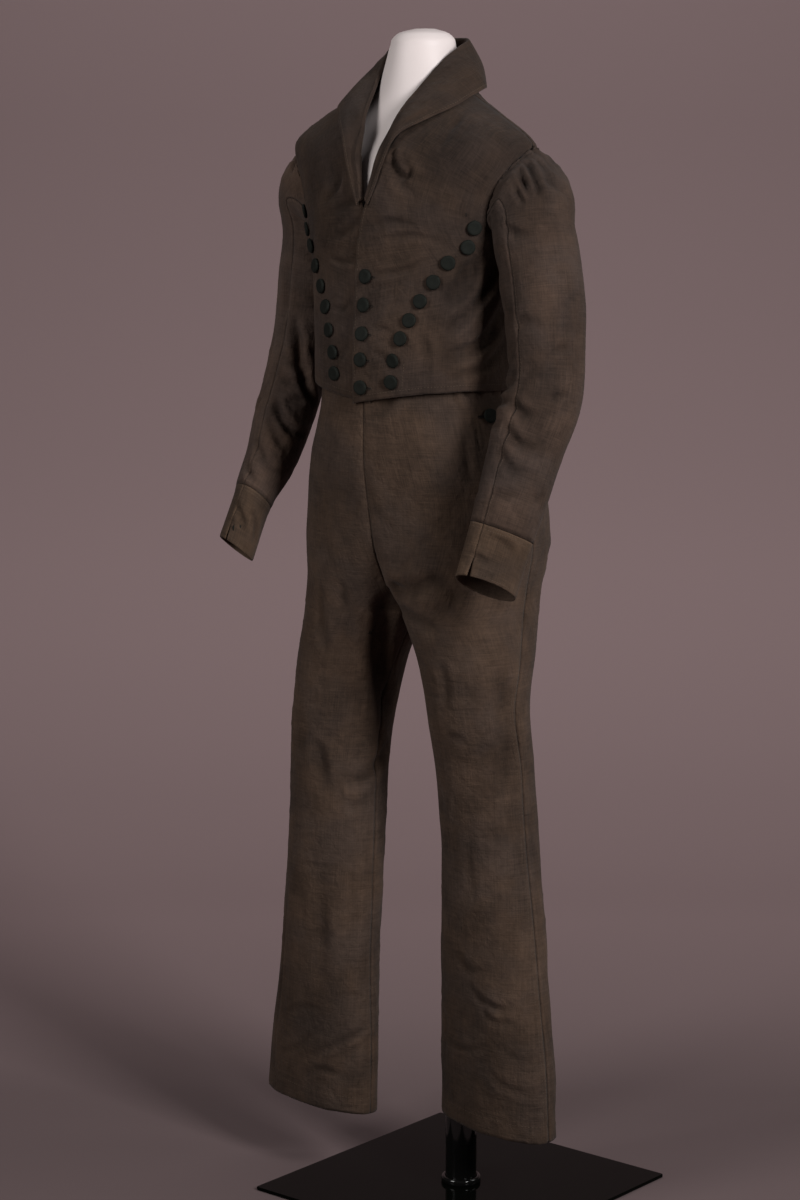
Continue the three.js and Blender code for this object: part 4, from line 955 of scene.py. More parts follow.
# group, depth, width (mm), raised lips (share), how it ends, places in the camera's frame
SEEN_CREASES = [
    # the left front: the hook under the collar, drag lines to the armhole, slack under the arm
    ("jacket", 5.0, 4.5, 0.55, "both", (394, 149), (393.5, 157), (396, 166), (400.5, 173), (406, 177), (410, 174), (411, 166)),
    ("jacket", 3.0, 8.0, 0.4, "out", (391, 165), (402, 184), (416, 197)),
    ("jacket", -2.4, 11, 0.0, "both", (399, 146), (411, 160), (418, 178)),
    ("jacket", 3.5, 9.0, 0.4, "out", (511, 185), (504, 205), (493, 228)),
    ("jacket", 6.0, 16.0, 0.35, "both", (492, 222), (479, 256), (462, 288), (448, 310)),
    ("jacket", 5.0, 13.0, 0.4, "both", (498, 262), (482, 296), (462, 322), (444, 334)),
    ("jacket", 4.5, 12.0, 0.4, "both", (503, 306), (487, 338), (462, 354), (440, 358)),
    ("jacket", 3.0, 8.0, 0.4, "both", (500, 346), (483, 366), (457, 374)),
    ("jacket", -2.5, 12.0, 0.0, "both", (494, 290), (474, 322), (452, 342)),
    ("jacket", 1.6, 5.0, 0.5, "both", (374, 275), (392, 273), (411, 268), (428, 259)),
    ("jacket", 1.2, 4.0, 0.5, "both", (371, 287), (388, 286), (402, 281)),
    ("jacket", 1.5, 7.0, 0.4, "both", (368, 228), (392, 222), (420, 228)),
    ("jacket", 1.3, 6.0, 0.4, "both", (384, 240), (414, 236), (447, 245)),
    ("jacket", 1.4, 5.0, 0.4, "both", (371, 327), (388, 331), (402, 340)),
    ("jacket", 1.4, 5.0, 0.4, "both", (371, 352), (384, 356), (395, 362)),
    ("jacket", 1.8, 8.0, 0.4, "both", (420, 330), (426, 356), (424, 384)),
    ("jacket", 1.6, 7.0, 0.3, "both", (470, 112), (452, 128), (440, 150)),
    # the right front
    ("jacket", 2.2, 7.0, 0.4, "both", (343, 165), (337, 186), (322, 206)),
    ("jacket", 2.0, 6.0, 0.4, "both", (362, 199), (346, 205), (326, 217)),
    ("jacket", 1.8, 6.0, 0.4, "both", (361, 218), (345, 232), (328, 240)),
    ("jacket", 1.4, 5.0, 0.4, "both", (357, 260), (343, 262), (330, 257)),
    ("jacket", 1.5, 5.0, 0.4, "both", (352, 300), (341, 309), (331, 308)),
    ("jacket", 1.6, 6.0, 0.4, "both", (349, 345), (340, 356), (334, 369)),
    ("jacket", 2.4, 8.0, 0.3, "both", (310, 150), (309, 172), (309, 196)),
    # left sleeve
    ("sleeve_left", 5.0, 5.5, 0.6, "both", (526, 160), (531, 172), (537, 186), (541, 198)),
    ("sleeve_left", 3.5, 5.0, 0.6, "both", (519, 168), (523, 180), (529, 196)),
    ("sleeve_left", 2.6, 5.0, 0.5, "both", (514, 182), (518, 194), (524, 207)),
    ("sleeve_left", 2.2, 9.0, 0.3, "both", (541, 178), (556, 186), (570, 200)),
    ("sleeve_left", 2.4, 8.0, 0.3, "both", (504, 228), (515, 233), (530, 236)),
    ("sleeve_left", 2.6, 10.0, 0.3, "both", (511, 330), (526, 322), (543, 326)),
    ("sleeve_left", 2.2, 7.0, 0.3, "both", (587, 352), (570, 348), (549, 352)),
    ("sleeve_left", 1.8, 6.0, 0.3, "both", (586, 388), (568, 392), (552, 400)),
    ("sleeve_left", 3.0, 9.0, 0.3, "both", (507, 400), (520, 412), (538, 418)),
    ("sleeve_left", 3.4, 8.0, 0.35, "both", (503, 425), (517, 442), (536, 452)),
    ("sleeve_left", 2.6, 8.0, 0.3, "both", (496, 450), (512, 470), (533, 478)),
    ("sleeve_left", -2.0, 9.0, 0.0, "both", (505, 440), (520, 458), (540, 466)),
    ("sleeve_left", 2.0, 8.0, 0.3, "both", (488, 492), (505, 497), (520, 494)),
    ("sleeve_left", 1.6, 6.0, 0.3, "both", (560, 478), (545, 490), (532, 505)),
    # right sleeve: slack at the inner elbow
    ("sleeve_right", 4.2, 4.5, 0.6, "both", (301, 152), (296, 162), (291, 175)),
    ("sleeve_right", 3.2, 4.5, 0.6, "both", (304, 160), (302, 176), (302, 192)),
    ("sleeve_right", 3.0, 4.5, 0.5, "both", (294, 156), (287, 168), (284, 182)),
    ("sleeve_right", 5.5, 8.0, 0.45, "both", (294, 318), (297, 342), (300, 366), (306, 392)),
    ("sleeve_right", 5.0, 7.0, 0.45, "both", (303, 356), (306, 384), (313, 408), (319, 420)),
    ("sleeve_right", 5.5, 7.5, 0.5, "both", (274, 398), (279, 414), (289, 428), (304, 436)),
    ("sleeve_right", 4.0, 7.0, 0.4, "both", (268, 418), (276, 436), (288, 452)),
    ("sleeve_right", 3.0, 8.0, 0.35, "both", (263, 374), (261, 396), (256, 412)),
    ("sleeve_right", 2.6, 7.0, 0.35, "both", (256, 438), (262, 458), (274, 474)),
    ("sleeve_right", 2.2, 6.0, 0.35, "both", (246, 460), (252, 477), (262, 488)),
    ("sleeve_right", 3.0, 9.0, 0.35, "both", (288, 262), (287, 292), (283, 322)),
    ("sleeve_right", 2.0, 8.0, 0.3, "both", (276, 330), (272, 350), (268, 366)),
    # cuffs
    ("cuff_left", 1.6, 7.0, 0.3, "both", (488, 536), (505, 545), (517, 556)),
    ("cuff_left", 1.4, 6.0, 0.3, "both", (470, 555), (482, 560), (494, 566)),
    ("cuff_right", 1.8, 6.0, 0.3, "both", (236, 500), (242, 520), (247, 541)),
    ("cuff_right", 1.4, 5.0, 0.3, "both", (252, 505), (256, 524), (254, 545)),
    # collar
    ("collar", 1.8, 7.0, 0.35, "both", (352, 110), (354, 132), (360, 156)),
    ("collar", 1.5, 6.0, 0.35, "both", (399, 128), (424, 116), (450, 106)),
    ("collar", 1.5, 6.0, 0.3, "both", (425, 108), (446, 99), (466, 95)),
    # trousers, wearer's left: gathers under the hem, hollows from the crotch, the pressed edge, slack at the shin
    ("leg_left", 3.2, 4.5, 0.6, "out", (452, 390), (456, 400), (462, 412)),
    ("leg_left", 3.4, 4.5, 0.6, "out", (463, 389), (470, 399), (478, 408)),
    ("leg_left", 3.0, 4.0, 0.6, "out", (476, 389), (483, 397), (490, 404)),
    ("leg_left", 2.6, 4.0, 0.6, "out", (489, 388), (495, 395), (500, 402)),
    ("leg_left", 2.8, 12.0, 0.3, "both", (402, 392), (388, 402), (378, 416), (374, 428)),
    ("leg_left", 1.8, 7.0, 0.4, "both", (464, 424), (466, 452), (470, 486)),
    ("leg_left", 1.0, 2.6, 0.8, "both", (475, 425), (477, 440), (480.5, 456)),
    ("leg_left", 5.5, 14.0, 0.35, "out", (396, 590), (412, 590), (430, 584), (449, 584)),
    ("leg_left", 4.0, 11.0, 0.35, "both", (402, 606), (420, 622), (440, 630)),
    ("leg_left", 3.0, 10.0, 0.3, "both", (428, 574), (446, 586), (462, 604)),
    ("leg_left", -2.4, 11.0, 0.0, "both", (410, 600), (430, 602), (452, 600)),
    ("leg_left", -0.9, 2.2, 0.0, "both", (424, 604), (426, 622), (428, 637)),
    ("leg_left", -0.9, 2.0, 0.0, "both", (452, 627), (470, 631), (490, 630)),
    ("leg_left", 2.6, 10.0, 0.3, "both", (440, 655), (446, 688), (443, 716)),
    ("leg_left", 4.5, 18.0, 0.3, "both", (498, 672), (505, 712), (506, 756), (503, 800)),
    ("leg_left", -0.9, 2.2, 0.0, "both", (424, 706), (438, 722), (455, 730), (467, 725)),
    ("leg_left", 1.8, 6.0, 0.4, "both", (427, 718), (446, 733), (468, 742)),
    ("leg_left", -1.2, 2.4, 0.0, "both", (454, 726), (452, 746), (451, 801), (448.5, 866), (448, 912)),
    ("leg_left", 2.2, 9.0, 0.3, "both", (440, 786), (444, 820), (441, 862)),
    ("leg_left", 1.6, 10.0, 0.3, "both", (470, 800), (468, 860), (473, 905)),
    ("leg_left", 2.2, 9.0, 0.35, "both", (455, 952), (472, 972), (496, 974)),
    ("leg_left", 3.0, 7.0, 0.5, "both", (466, 984), (484, 1002), (503, 1010), (521, 1000)),
    ("leg_left", 2.4, 6.0, 0.5, "both", (480, 1006), (496, 1022), (518, 1024)),
    ("leg_left", 2.2, 6.0, 0.4, "both", (448, 1040), (470, 1050), (489, 1046)),
    ("leg_left", 2.0, 6.0, 0.4, "both", (500, 1046), (518, 1060), (540, 1062)),
    ("leg_left", 2.6, 6.0, 0.4, "both", (530, 1108), (546, 1112), (556, 1110)),
    ("leg_left", 2.4, 8.0, 0.4, "both", (492, 1078), (512, 1090), (536, 1092)),
    ("leg_left", 2.0, 6.0, 0.4, "both", (442, 990), (447, 1022), (446, 1056)),
    # trousers, wearer's right
    ("leg_right", 6.0, 5.0, 0.5, "in", (370, 543), (378, 560), (386, 573), (394, 583)),
    ("leg_right", 8.0, 17.0, 0.35, "both", (388, 590), (382, 622), (380, 655), (382, 688), (388, 716)),
    ("leg_right", -3.0, 14.0, 0.0, "both", (368, 600), (362, 640), (363, 680)),
    ("leg_right", 5.0, 11.0, 0.4, "both", (388, 742), (376, 766), (360, 780), (342, 778)),
    ("leg_right", 4.5, 14.0, 0.35, "both", (318, 738), (321, 764), (325, 794)),
    ("leg_right", 2.2, 9.0, 0.35, "both", (337, 795), (352, 806), (372, 800)),
    ("leg_right", -1.3, 2.4, 0.0, "both", (303, 646), (309, 664), (318, 687)),
    ("leg_right", 1.3, 3.0, 0.8, "both", (293, 698), (315, 694), (337, 695)),
    ("leg_right", 1.3, 3.0, 0.8, "both", (345, 700), (368, 703), (389, 699)),
    ("leg_right", 1.4, 4.0, 0.5, "both", (332, 672), (350, 676), (364, 668)),
    ("leg_right", 2.4, 10.0, 0.3, "both", (322, 585), (321, 620), (327, 655)),
    ("leg_right", 2.0, 8.0, 0.3, "both", (341, 580), (344, 600), (347, 618)),
    ("leg_right", 2.2, 5.0, 0.5, "both", (289, 880), (284, 940), (279, 1000), (275, 1058)),
    ("leg_right", 3.0, 16.0, 0.3, "both", (322, 870), (321, 930), (318, 985)),
    ("leg_right", 1.8, 9.0, 0.3, "both", (352, 850), (354, 910), (350, 960)),
    ("leg_right", 1.4, 5.0, 0.4, "both", (292, 862), (318, 866), (352, 870)),
    ("leg_right", 3.0, 6.0, 0.5, "both", (374, 1018), (356, 1034), (332, 1046), (306, 1058)),
    ("leg_right", 2.4, 6.0, 0.5, "both", (304, 1074), (326, 1070), (344, 1076)),
    ("leg_right", 3.0, 3.4, 0.6, "both", (349, 1086), (354, 1086), (360, 1085)),
    ("leg_right", 2.0, 6.0, 0.4, "both", (280, 1052), (296, 1048), (312, 1032)),
    ("leg_right", 1.6, 6.0, 0.4, "both", (330, 1000), (348, 994), (368, 998)),
    ("leg_right", 1.6, 5.0, 0.4, "both", (286, 1012), (302, 1006), (322, 1010)),
    ("leg_right", 2.4, 10.0, 0.3, "both", (312, 420), (309, 455), (310, 500)),
]
for g, depth, width, lip, ends, *places in SEEN_CREASES:
    crease(g, [seen(CAD_TREES[g], *p, near_side=g == "jacket") for p in places],
           (2.1 if not g.startswith("leg") else 1.8 if places[0][1] < 640 else 1.15) * depth, width, lip, ends)

# gathers round both sleeve heads: from and to angle round the arm (0 top, 90 front), run down the sleeve, depth, width
GATHERS = [(-74, -66, 0.9, 1.8, 4.0), (-57, -50, 1.2, 2.4, 4.4), (-41, -37, 1.5, 2.8, 4.6), (-26, -24, 1.35, 3.1, 4.4),
           (-11, -12, 1.7, 3.2, 4.8), (3, 1, 1.5, 3.4, 4.4), (17, 13, 1.9, 3.4, 5.0), (31, 25, 1.6, 3.0, 4.6),
           (62, 52, 1.3, 2.4, 4.4), (76, 67, 0.9, 1.8, 4.0)]
# hidden sides: group, the points as places on the cloth, depth, width, lip
for side in ("left", "right"):
    at, g = sleeve[side], "sleeve_" + side
    for i, (p0, p1, run, depth, width) in enumerate(GATHERS):
        if side == "right" and p0 > 55:
            continue
        j = 1 if side == "left" else 0.85 + 0.1 * (i % 3)
        crease(g, [at(0.05 + (run * j) * t, mix(p0, p1, t), 0.0) for t in (0, 0.3, 0.65, 1)], 1.5 * depth * j, width, 0.6, "out")
    # the inside of the elbow, at the front and against the body, and the forearm's back
    for k0, k1, q0, q1, depth, width in [(6.2, 6.9, 108, 168, 3.6, 8), (7.2, 7.5, 100, 176, 4.6, 7), (8.0, 7.7, 96, 170, 4.0, 7),
                                         (8.8, 8.3, 104, 160, 3.2, 7), (5.2, 5.8, 130, 200, 2.6, 9), (4.0, 4.8, 120, 190, 2.8, 9),
                                         (7.4, 7.9, 286, 226, 2.4, 9), (8.4, 8.9, 292, 238, 2.4, 8), (9.6, 9.9, 270, 214, 2.0, 7),
                                         (3.0, 3.9, 300, 238, 2.6, 9), (5.8, 6.2, 318, 262, 1.8, 8), (10.3, 10.0, 130, 196, 1.8, 6)]:
        crease(g, [at(mix(k0, k1, t) + 0.25 * math.sin(3 * t), mix(q0, q1, t), 0.0) for t in (0, 0.35, 0.7, 1)], depth, width, 0.4, "both")
# the jacket's back and sides: (angle, height) on the body, mirrored to the wearer's right where the sign is -1
for sign, depth, width, *places in [
        (1, 3.4, 9, (-30, 1352), (-44, 1330), (-58, 1300)), (1, 3.0, 8, (-22, 1326), (-38, 1290), (-52, 1262)),
        (1, 2.4, 9, (-14, 1290), (-26, 1250), (-44, 1222)), (1, 2.4, 10, (-70, 1480), (-66, 1430), (-60, 1385)),
        (1, 1.8, 7, (-84, 1260), (-60, 1240), (-40, 1200)), (1, 2.0, 8, (-80, 1200), (-62, 1180), (-46, 1160)),
        (-1, 3.2, 9, (-32, 1356), (-46, 1336), (-63, 1318)), (-1, 2.8, 8, (-20, 1316), (-35, 1282), (-55, 1268)),
        (-1, 2.2, 9, (-18, 1270), (-34, 1232), (-50, 1210)), (-1, 2.6, 10, (-66, 1470), (-64, 1425), (-54, 1378)),
        (-1, 1.8, 7, (-80, 1232), (-62, 1212), (-38, 1190)), (-1, 3.6, 11, (0, 1330), (6, 1290), (18, 1248)),
        (-1, 2.6, 9, (-4, 1290), (4, 1240), (14, 1200)), (1, 2.8, 10, (-4, 1322), (0, 1270), (4, 1215)),
        (1, 1.6, 10, (-90, 1440), (-78, 1434), (-68, 1446)), (1, 1.8, 9, (-90, 1330), (-74, 1324), (-60, 1340))]:
    line = [body_at(a, z, 0.0) for a, z in places]
    crease("jacket", [p if sign > 0 else mirror(p) for p in line], depth, width, 0.4, "both")
# the trousers' backs and inner sides: front or back panel, (across, height)
for side, front, depth, width, *places in [
        ("left", False, 5.0, 13, (0.25, 905), (0.5, 880), (0.78, 862)), ("left", False, 4.0, 12, (0.3, 862), (0.55, 836), (0.8, 818)),
        ("left", False, 3.0, 10, (0.2, 820), (0.42, 790), (0.62, 782)), ("left", False, 3.6, 10, (0.25, 640), (0.5, 622), (0.78, 640)),
        ("left", False, 3.0, 9, (0.3, 600), (0.55, 588), (0.74, 600)), ("left", False, 2.6, 9, (0.35, 668), (0.55, 660), (0.8, 676)),
        ("left", False, 2.2, 12, (0.5, 560), (0.48, 480), (0.52, 400)), ("left", False, 2.4, 7, (0.3, 250), (0.5, 226), (0.72, 232)),
        ("left", False, 2.2, 7, (0.2, 190), (0.42, 172), (0.66, 180)), ("left", False, 2.0, 14, (0.6, 1100), (0.66, 1040), (0.72, 980)),
        ("left", False, 1.8, 12, (0.3, 1090), (0.34, 1030), (0.3, 980)), ("left", True, 2.2, 7, (0.86, 640), (0.94, 622), (0.99, 600)),
        ("right", False, 4.6, 13, (0.22, 912), (0.48, 892), (0.76, 872)), ("right", False, 4.2, 12, (0.28, 866), (0.52, 846), (0.82, 824)),
        ("right", False, 2.8, 10, (0.24, 806), (0.46, 782), (0.66, 770)), ("right", False, 3.8, 10, (0.2, 628), (0.48, 606), (0.74, 622)),
        ("right", False, 2.8, 9, (0.34, 578), (0.52, 566), (0.7, 580)), ("right", False, 2.4, 9, (0.3, 660), (0.5, 648), (0.82, 662)),
        ("right", False, 2.4, 12, (0.46, 540), (0.5, 460), (0.47, 380)), ("right", False, 2.2, 7, (0.36, 240), (0.54, 214), (0.76, 226)),
        ("right", False, 2.4, 7, (0.24, 178), (0.44, 160), (0.7, 166)), ("right", False, 2.0, 14, (0.62, 1096), (0.68, 1036), (0.7, 976)),
        ("right", True, 2.4, 8, (0.02, 700), (0.14, 690), (0.26, 704)), ("right", True, 2.0, 8, (0.0, 560), (0.1, 548), (0.22, 556))]:
    crease("leg_" + side, [trouser_point(side, front, u, float(z)) for u, z in places], depth, width, 0.4, "both")
# the two stitched shaping lines on the fronts
for g, *places in [("jacket", (321.4, 312), (321.6, 345), (322.5, 381)), ("jacket", (402.6, 362), (401.6, 376), (400.4, 391))]:
    crease(g, [seen(CAD_TREES[g], *p) for p in places], 0.9, 1.7, 0.5, "none")


# ---------------------------------------------------------------- the cloth pieces
def blobs(P, N, tree, spots):
    """Stains, lighter patches and painted shade: (x, y, radius mm, strength) in the camera's frame, with a ragged edge.
    """
    out = np.zeros(P.shape[:2])
    for x, y, r, strength in spots:
        c = seen(tree, x, y)
        if c is None:
            continue
        d = np.linalg.norm(P - c, axis=-1) + 9 * noise(P, 18, 131) + 4 * noise(P, 8, 137)
        out = np.where(np.abs(strength) * smooth(r * 1.12, r * 0.8, d) > np.abs(out), strength * smooth(r * 1.12, r * 0.8, d), out)
    return out


def jacket_limits(P):
    # the hem stays off the waistband and the hips below it
    low = mix(-0.9, -7.5, smooth(1160, 1250, P[..., 2]))
    # it swells by no more than 3.2 mm anywhere
    return low, np.full(P.shape[:2], 3.2)


def wavy_hem(P, dist, amount=1.2, seed=3, key="v0"):
    w = np.exp(-(dist[key] / 26.0) ** 2)
    Q = P.copy()
    Q[..., 2] += amount * w * (noise(P, 33, seed) + 0.4 * noise(P, 14, seed + 1))
    return Q


vs = np.linspace(0, 1, 13 * max(3, int(round(9 * FINE))) + 1)[:, None]
us = np.linspace(0, 1, lines(84) + 1)[None, :]
JACKET_EDGES = {"u0": "turned", "u1": "sewn", "v0": "turned", "v1": "sewn"}
left_cut, right_cut, rear_cut = left_front_cut(), right_front_cut(), back_cut()


def edge_waver(P, N, dist):
    """The closing edge isn't quite straight: it lifts and pinches between its buttonholes."""
    z = P[..., 2]
    return 0.7 * np.exp(-(dist["u0"] / 9.0) ** 2) * np.sin((z - 1139) * 2 * np.pi / 38.0 + 1.4)


for name, cut_map, mirrored, lifted, edges in [
        ("jacket_front_left", left_cut, False, True, JACKET_EDGES),
        ("jacket_front_right", right_cut, True, False, JACKET_EDGES),
        ("jacket_back_left", rear_cut, False, False, dict(JACKET_EDGES, u0="sewn")),
        ("jacket_back_right", rear_cut, True, False, dict(JACKET_EDGES, u0="sewn"))]:
    at = panel(cut_map, mirrored, lifted)
    P = at(us, vs, 0.0)
    N = unit(at(us, vs, 1.0) - P)
    P = wavy_hem(P, edge_distance(P), 1.1)
    if "front" in name:
        # the neckline's turning runs on under the collar
        P[:, 0] += unit(P[:, 0] - P[:, 1]) * 3.2 * smooth(1392, 1404, P[:, 0, 2])[:, None]
    # the chest is darker than the waist, and painted shade darkens the hollow before the armhole, where the arm shades
    # it
    stains_and_painted_shading = (lambda Q, dist, t=CAD_TREES["jacket"]:
             blobs(Q, None, t, [(456, 290, 26, -0.16), (468, 262, 24, -0.20), (474, 232, 18, -0.14), (395, 300, 30, 0.05), (420, 260, 34, 0.04)])
             - 0.13 * smooth(1270, 1400, Q[..., 2]))
    piece("cloth_" + name, P, N, "jacket", edges, 0.8, extra=edge_waver if name == "jacket_front_left" else None,
          limit=jacket_limits, material=LINEN, tone_extra=stains_and_painted_shading if "front" in name else None, keep_off=UNDER_JACKET)


def sleeve_limits(P):
    # where it lies near the body the sleeve only sinks
    r = body_radius(P if P[..., 0].mean() > MID else mirror(P), 0.0)
    gap = (r - 1) * 150
    return np.full(P.shape[:2], -11.0), mix(0.4, 3.6, smooth(3, 16, gap))


def flank(P, N, dist):
    """The left sleeve hangs flatter on the side towards the chest, from the armpit to the elbow."""
    z = P[..., 2]
    return -8.5 * smooth(0.1, 0.8, -(N * CAM_RIGHT).sum(-1)) * smooth(1100, 1175, z) * (1 - smooth(1290, 1365, z))


SLEEVE_STAIN = {"left": [(541, 385, 26, -0.27), (536, 405, 30, -0.30), (527, 425, 22, -0.27), (533, 445, 22, -0.18), (536, 178, 26, -0.16), (548, 190, 18, -0.12), (512, 372, 10, -0.14),
                         (545, 300, 45, 0.05), (520, 500, 25, 0.08)],
                "right": [(272, 300, 40, 0.05), (262, 440, 25, 0.04)]}
for side in ("left", "right"):
    at = sleeve[side]
    ks = refine(SLEEVE_KS, lines(9))[:, None]
    for part, phis in (("top", np.linspace(-89.85, 89.85, lines(54) + 1)), ("under", np.linspace(90.15, 269.85, lines(54) + 1))):
        P = at(ks, phis[None, :], -CLOTH)
        N = unit(at(ks, phis[None, :], -CLOTH - 1.0) - P)
        # the left sleeve is darker at its top and towards the wrist; the right sleeve is painted lighter all over, as
        # painted light
        stains_and_painted_shading = (lambda Q, dist, t=CAD_TREES["sleeve_" + side], s=SLEEVE_STAIN[side], q=side:
                 blobs(Q, None, t, s) + (-0.12 * smooth(1290, 1390, Q[..., 2]) - 0.17 * (1 - smooth(1000, 1140, Q[..., 2])) if q == "left" else 0.24))
        piece(f"cloth_sleeve_{part}_{side}", P, N, "sleeve_" + side, {"u0": "sewn", "u1": "sewn", "v0": "sewn", "v1": "sewn"}, 0.9,
              seed=40 if side == "right" else 20, extra=flank if side == "left" else None, limit=sleeve_limits,
              material=LINEN_SLEEVE_PAINTED_LIGHTER, tone_extra=stains_and_painted_shading)
    # the cuff: one doubled strip, its ends meeting in a notch
    ks = refine([CUFF_K, 11.33, 11.66, LAST_K], lines(11))[:, None]
    t = np.linspace(0, 1, lines(92) + 1)[None, :]
    phi = mix(90 + notch(ks), 450 - notch(ks), t)
    P = at(ks + 0 * t, phi, -1.0)
    N = unit(at(ks + 0 * t, phi, -2.0) - P)
    hem = (lambda Q, dist: 0.10 * noise(Q, 20, 51) + 0.05 * smooth(50, 70, dist["v0"]))
    piece(f"cloth_cuff_{side}", P, N, "cuff_" + side, {"u0": "turned", "u1": "turned", "v0": "cuffed", "v1": "turned"}, 0.55, seed=60,
          thick=2.0, material=LINEN_CUFF, tone_extra=hem)

# the collar stands, rolls over and falls
COLLAR_U = [-0.985, -0.93, -0.86, -0.78, -0.7, -0.62, -0.54, -0.47, -0.4, -0.33, -0.25, -0.16, -0.08, 0,
            0.08, 0.16, 0.25, 0.33, 0.4, 0.47, 0.54, 0.62, 0.7, 0.78, 0.86, 0.93, 0.985]
cu, cw = refine(COLLAR_U, lines(9)), refine([0, 0.24, 0.44, 0.5, 0.57, 0.66, 0.83, 1], lines(6))
P = collar_point(cu, cw)
N = grid_normals(P)
mid_row = int(len(cw) * 0.93)
outward = (N[mid_row] * (P[mid_row] - np.array([MID, 0, 1480.0]))).sum(-1).mean()
N = N * (1 if outward > 0 else -1)


def collar_limits(P):
    return np.full(P.shape[:2], -0.8), np.full(P.shape[:2], 2.4)


piece("cloth_collar", P + N * CLOTH / 2, N, "collar", {"u0": "turned", "u1": "turned", "v0": "sewn", "v1": "turned"}, 0.45, seed=80,
      limit=collar_limits, material=LINEN, tone_extra=lambda Q, dist: -0.14 + 0.05 * noise(Q, 34, 61))


# trousers: smooth rows about every 4.5 mm
def trouser_limits(P):
    z = P[..., 2]
    return mix(-8.0, -3.0, smooth(1115, 1150, z)), mix(3.4, -0.3, smooth(1095, 1132, z))


LEG_ROWS = [815, 788, 750, 690, 600, 500, 400, 300, 200]
HIP_ROWS = [1150, 1113, 1077, 1032, 988, 946, 909, 880, 856, 835, 815]
leg_stains = {"left": [(470, 800, 60, 0.07), (480, 880, 40, 0.06), (455, 640, 40, 0.04), (505, 740, 25, -0.05), (475, 1000, 30, -0.04),
                       (512, 1012, 14, -0.07)],
              "right": [(318, 870, 45, 0.05), (340, 620, 45, 0.05), (330, 945, 40, 0.03), (318, 770, 18, -0.06)]}
for side in ("left", "right"):
    foot = 90 if side == "left" else 84
    zs = []
    full = HIP_ROWS + LEG_ROWS[1:] + [foot]
    for a, b in zip(full[:-1], full[1:]):
        zs += list(np.linspace(a, b, max(2, int(round((a - b) / (4.6 / FINE)))), endpoint=False))
    zs = np.array((zs + [foot])[::-1])[:, None]
    for front in (True, False):
        u = np.linspace(0.0006, 1 - 0.0006, lines(72) + 1)[None, :]
        P = trouser_point(side, front, u, zs)
        N = grid_normals(P)
        c = pt(MID + (1 if side == "left" else -1) * 100, 0, P[..., 2])
        N = N * np.sign((N * (P - c)).sum(-1).mean())
        P = wavy_hem(P, edge_distance(P), 1.5, 13)
        # painted shade: the cloth is painted darker below the knee than on the thighs
        painted_shin_shade = (lambda Q: -0.16 * (1 - smooth(190, 450, Q[..., 2])))
        if front:
            stains_and_painted_shading = (lambda Q, dist, t=CAD_TREES["leg_" + side], s=leg_stains[side], low=painted_shin_shade: blobs(Q, None, t, s) + low(Q))
        else:
            stains_and_painted_shading = (lambda Q, dist, low=painted_shin_shade: low(Q))
        piece(f"cloth_trouser_{'front' if front else 'back'}_{side}", P, N, "leg_" + side,
              {"u0": "sewn", "u1": "sewn", "v0": "turned", "v1": "sewn"}, 1.0, seed=100 if side == "left" else 130,
              limit=trouser_limits, material=LINEN_LEGS, tone_extra=stains_and_painted_shading, keep_off=UNDER_LEGS)

# the waistband, inside the jacket
t = np.linspace(0, 1, lines(120) + 1)[None, :]
zz = np.linspace(1150.4, 1184, lines(7) + 1)[:, None]
a = mix(90.1, 449.9, t)
s_, c_ = np.sin(rad(a)), np.cos(rad(a))
P = pt(MID + hips["half"](zz) * power(c_, HIP_SQUARE), hips["mid"](zz) - np.where(s_ > 0, hips["front"](zz), hips["back"](zz)) * power(s_, HIP_SQUARE), zz)
N = grid_normals(P)
N = N * np.sign((N * (P - pt(MID, 0, P[..., 2]))).sum(-1).mean())
piece("cloth_waistband", P, N, "waist", {"u0": "turned", "u1": "turned", "v0": "sewn", "v1": "turned"}, 0.12, seed=150, material=LINEN_LEGS)


# ---------------------------------------------------------------- buttons
FRONT_TREE = fine_tree("cloth_jacket_front_left")
RIGHT_TREE = fine_tree("cloth_jacket_front_right")


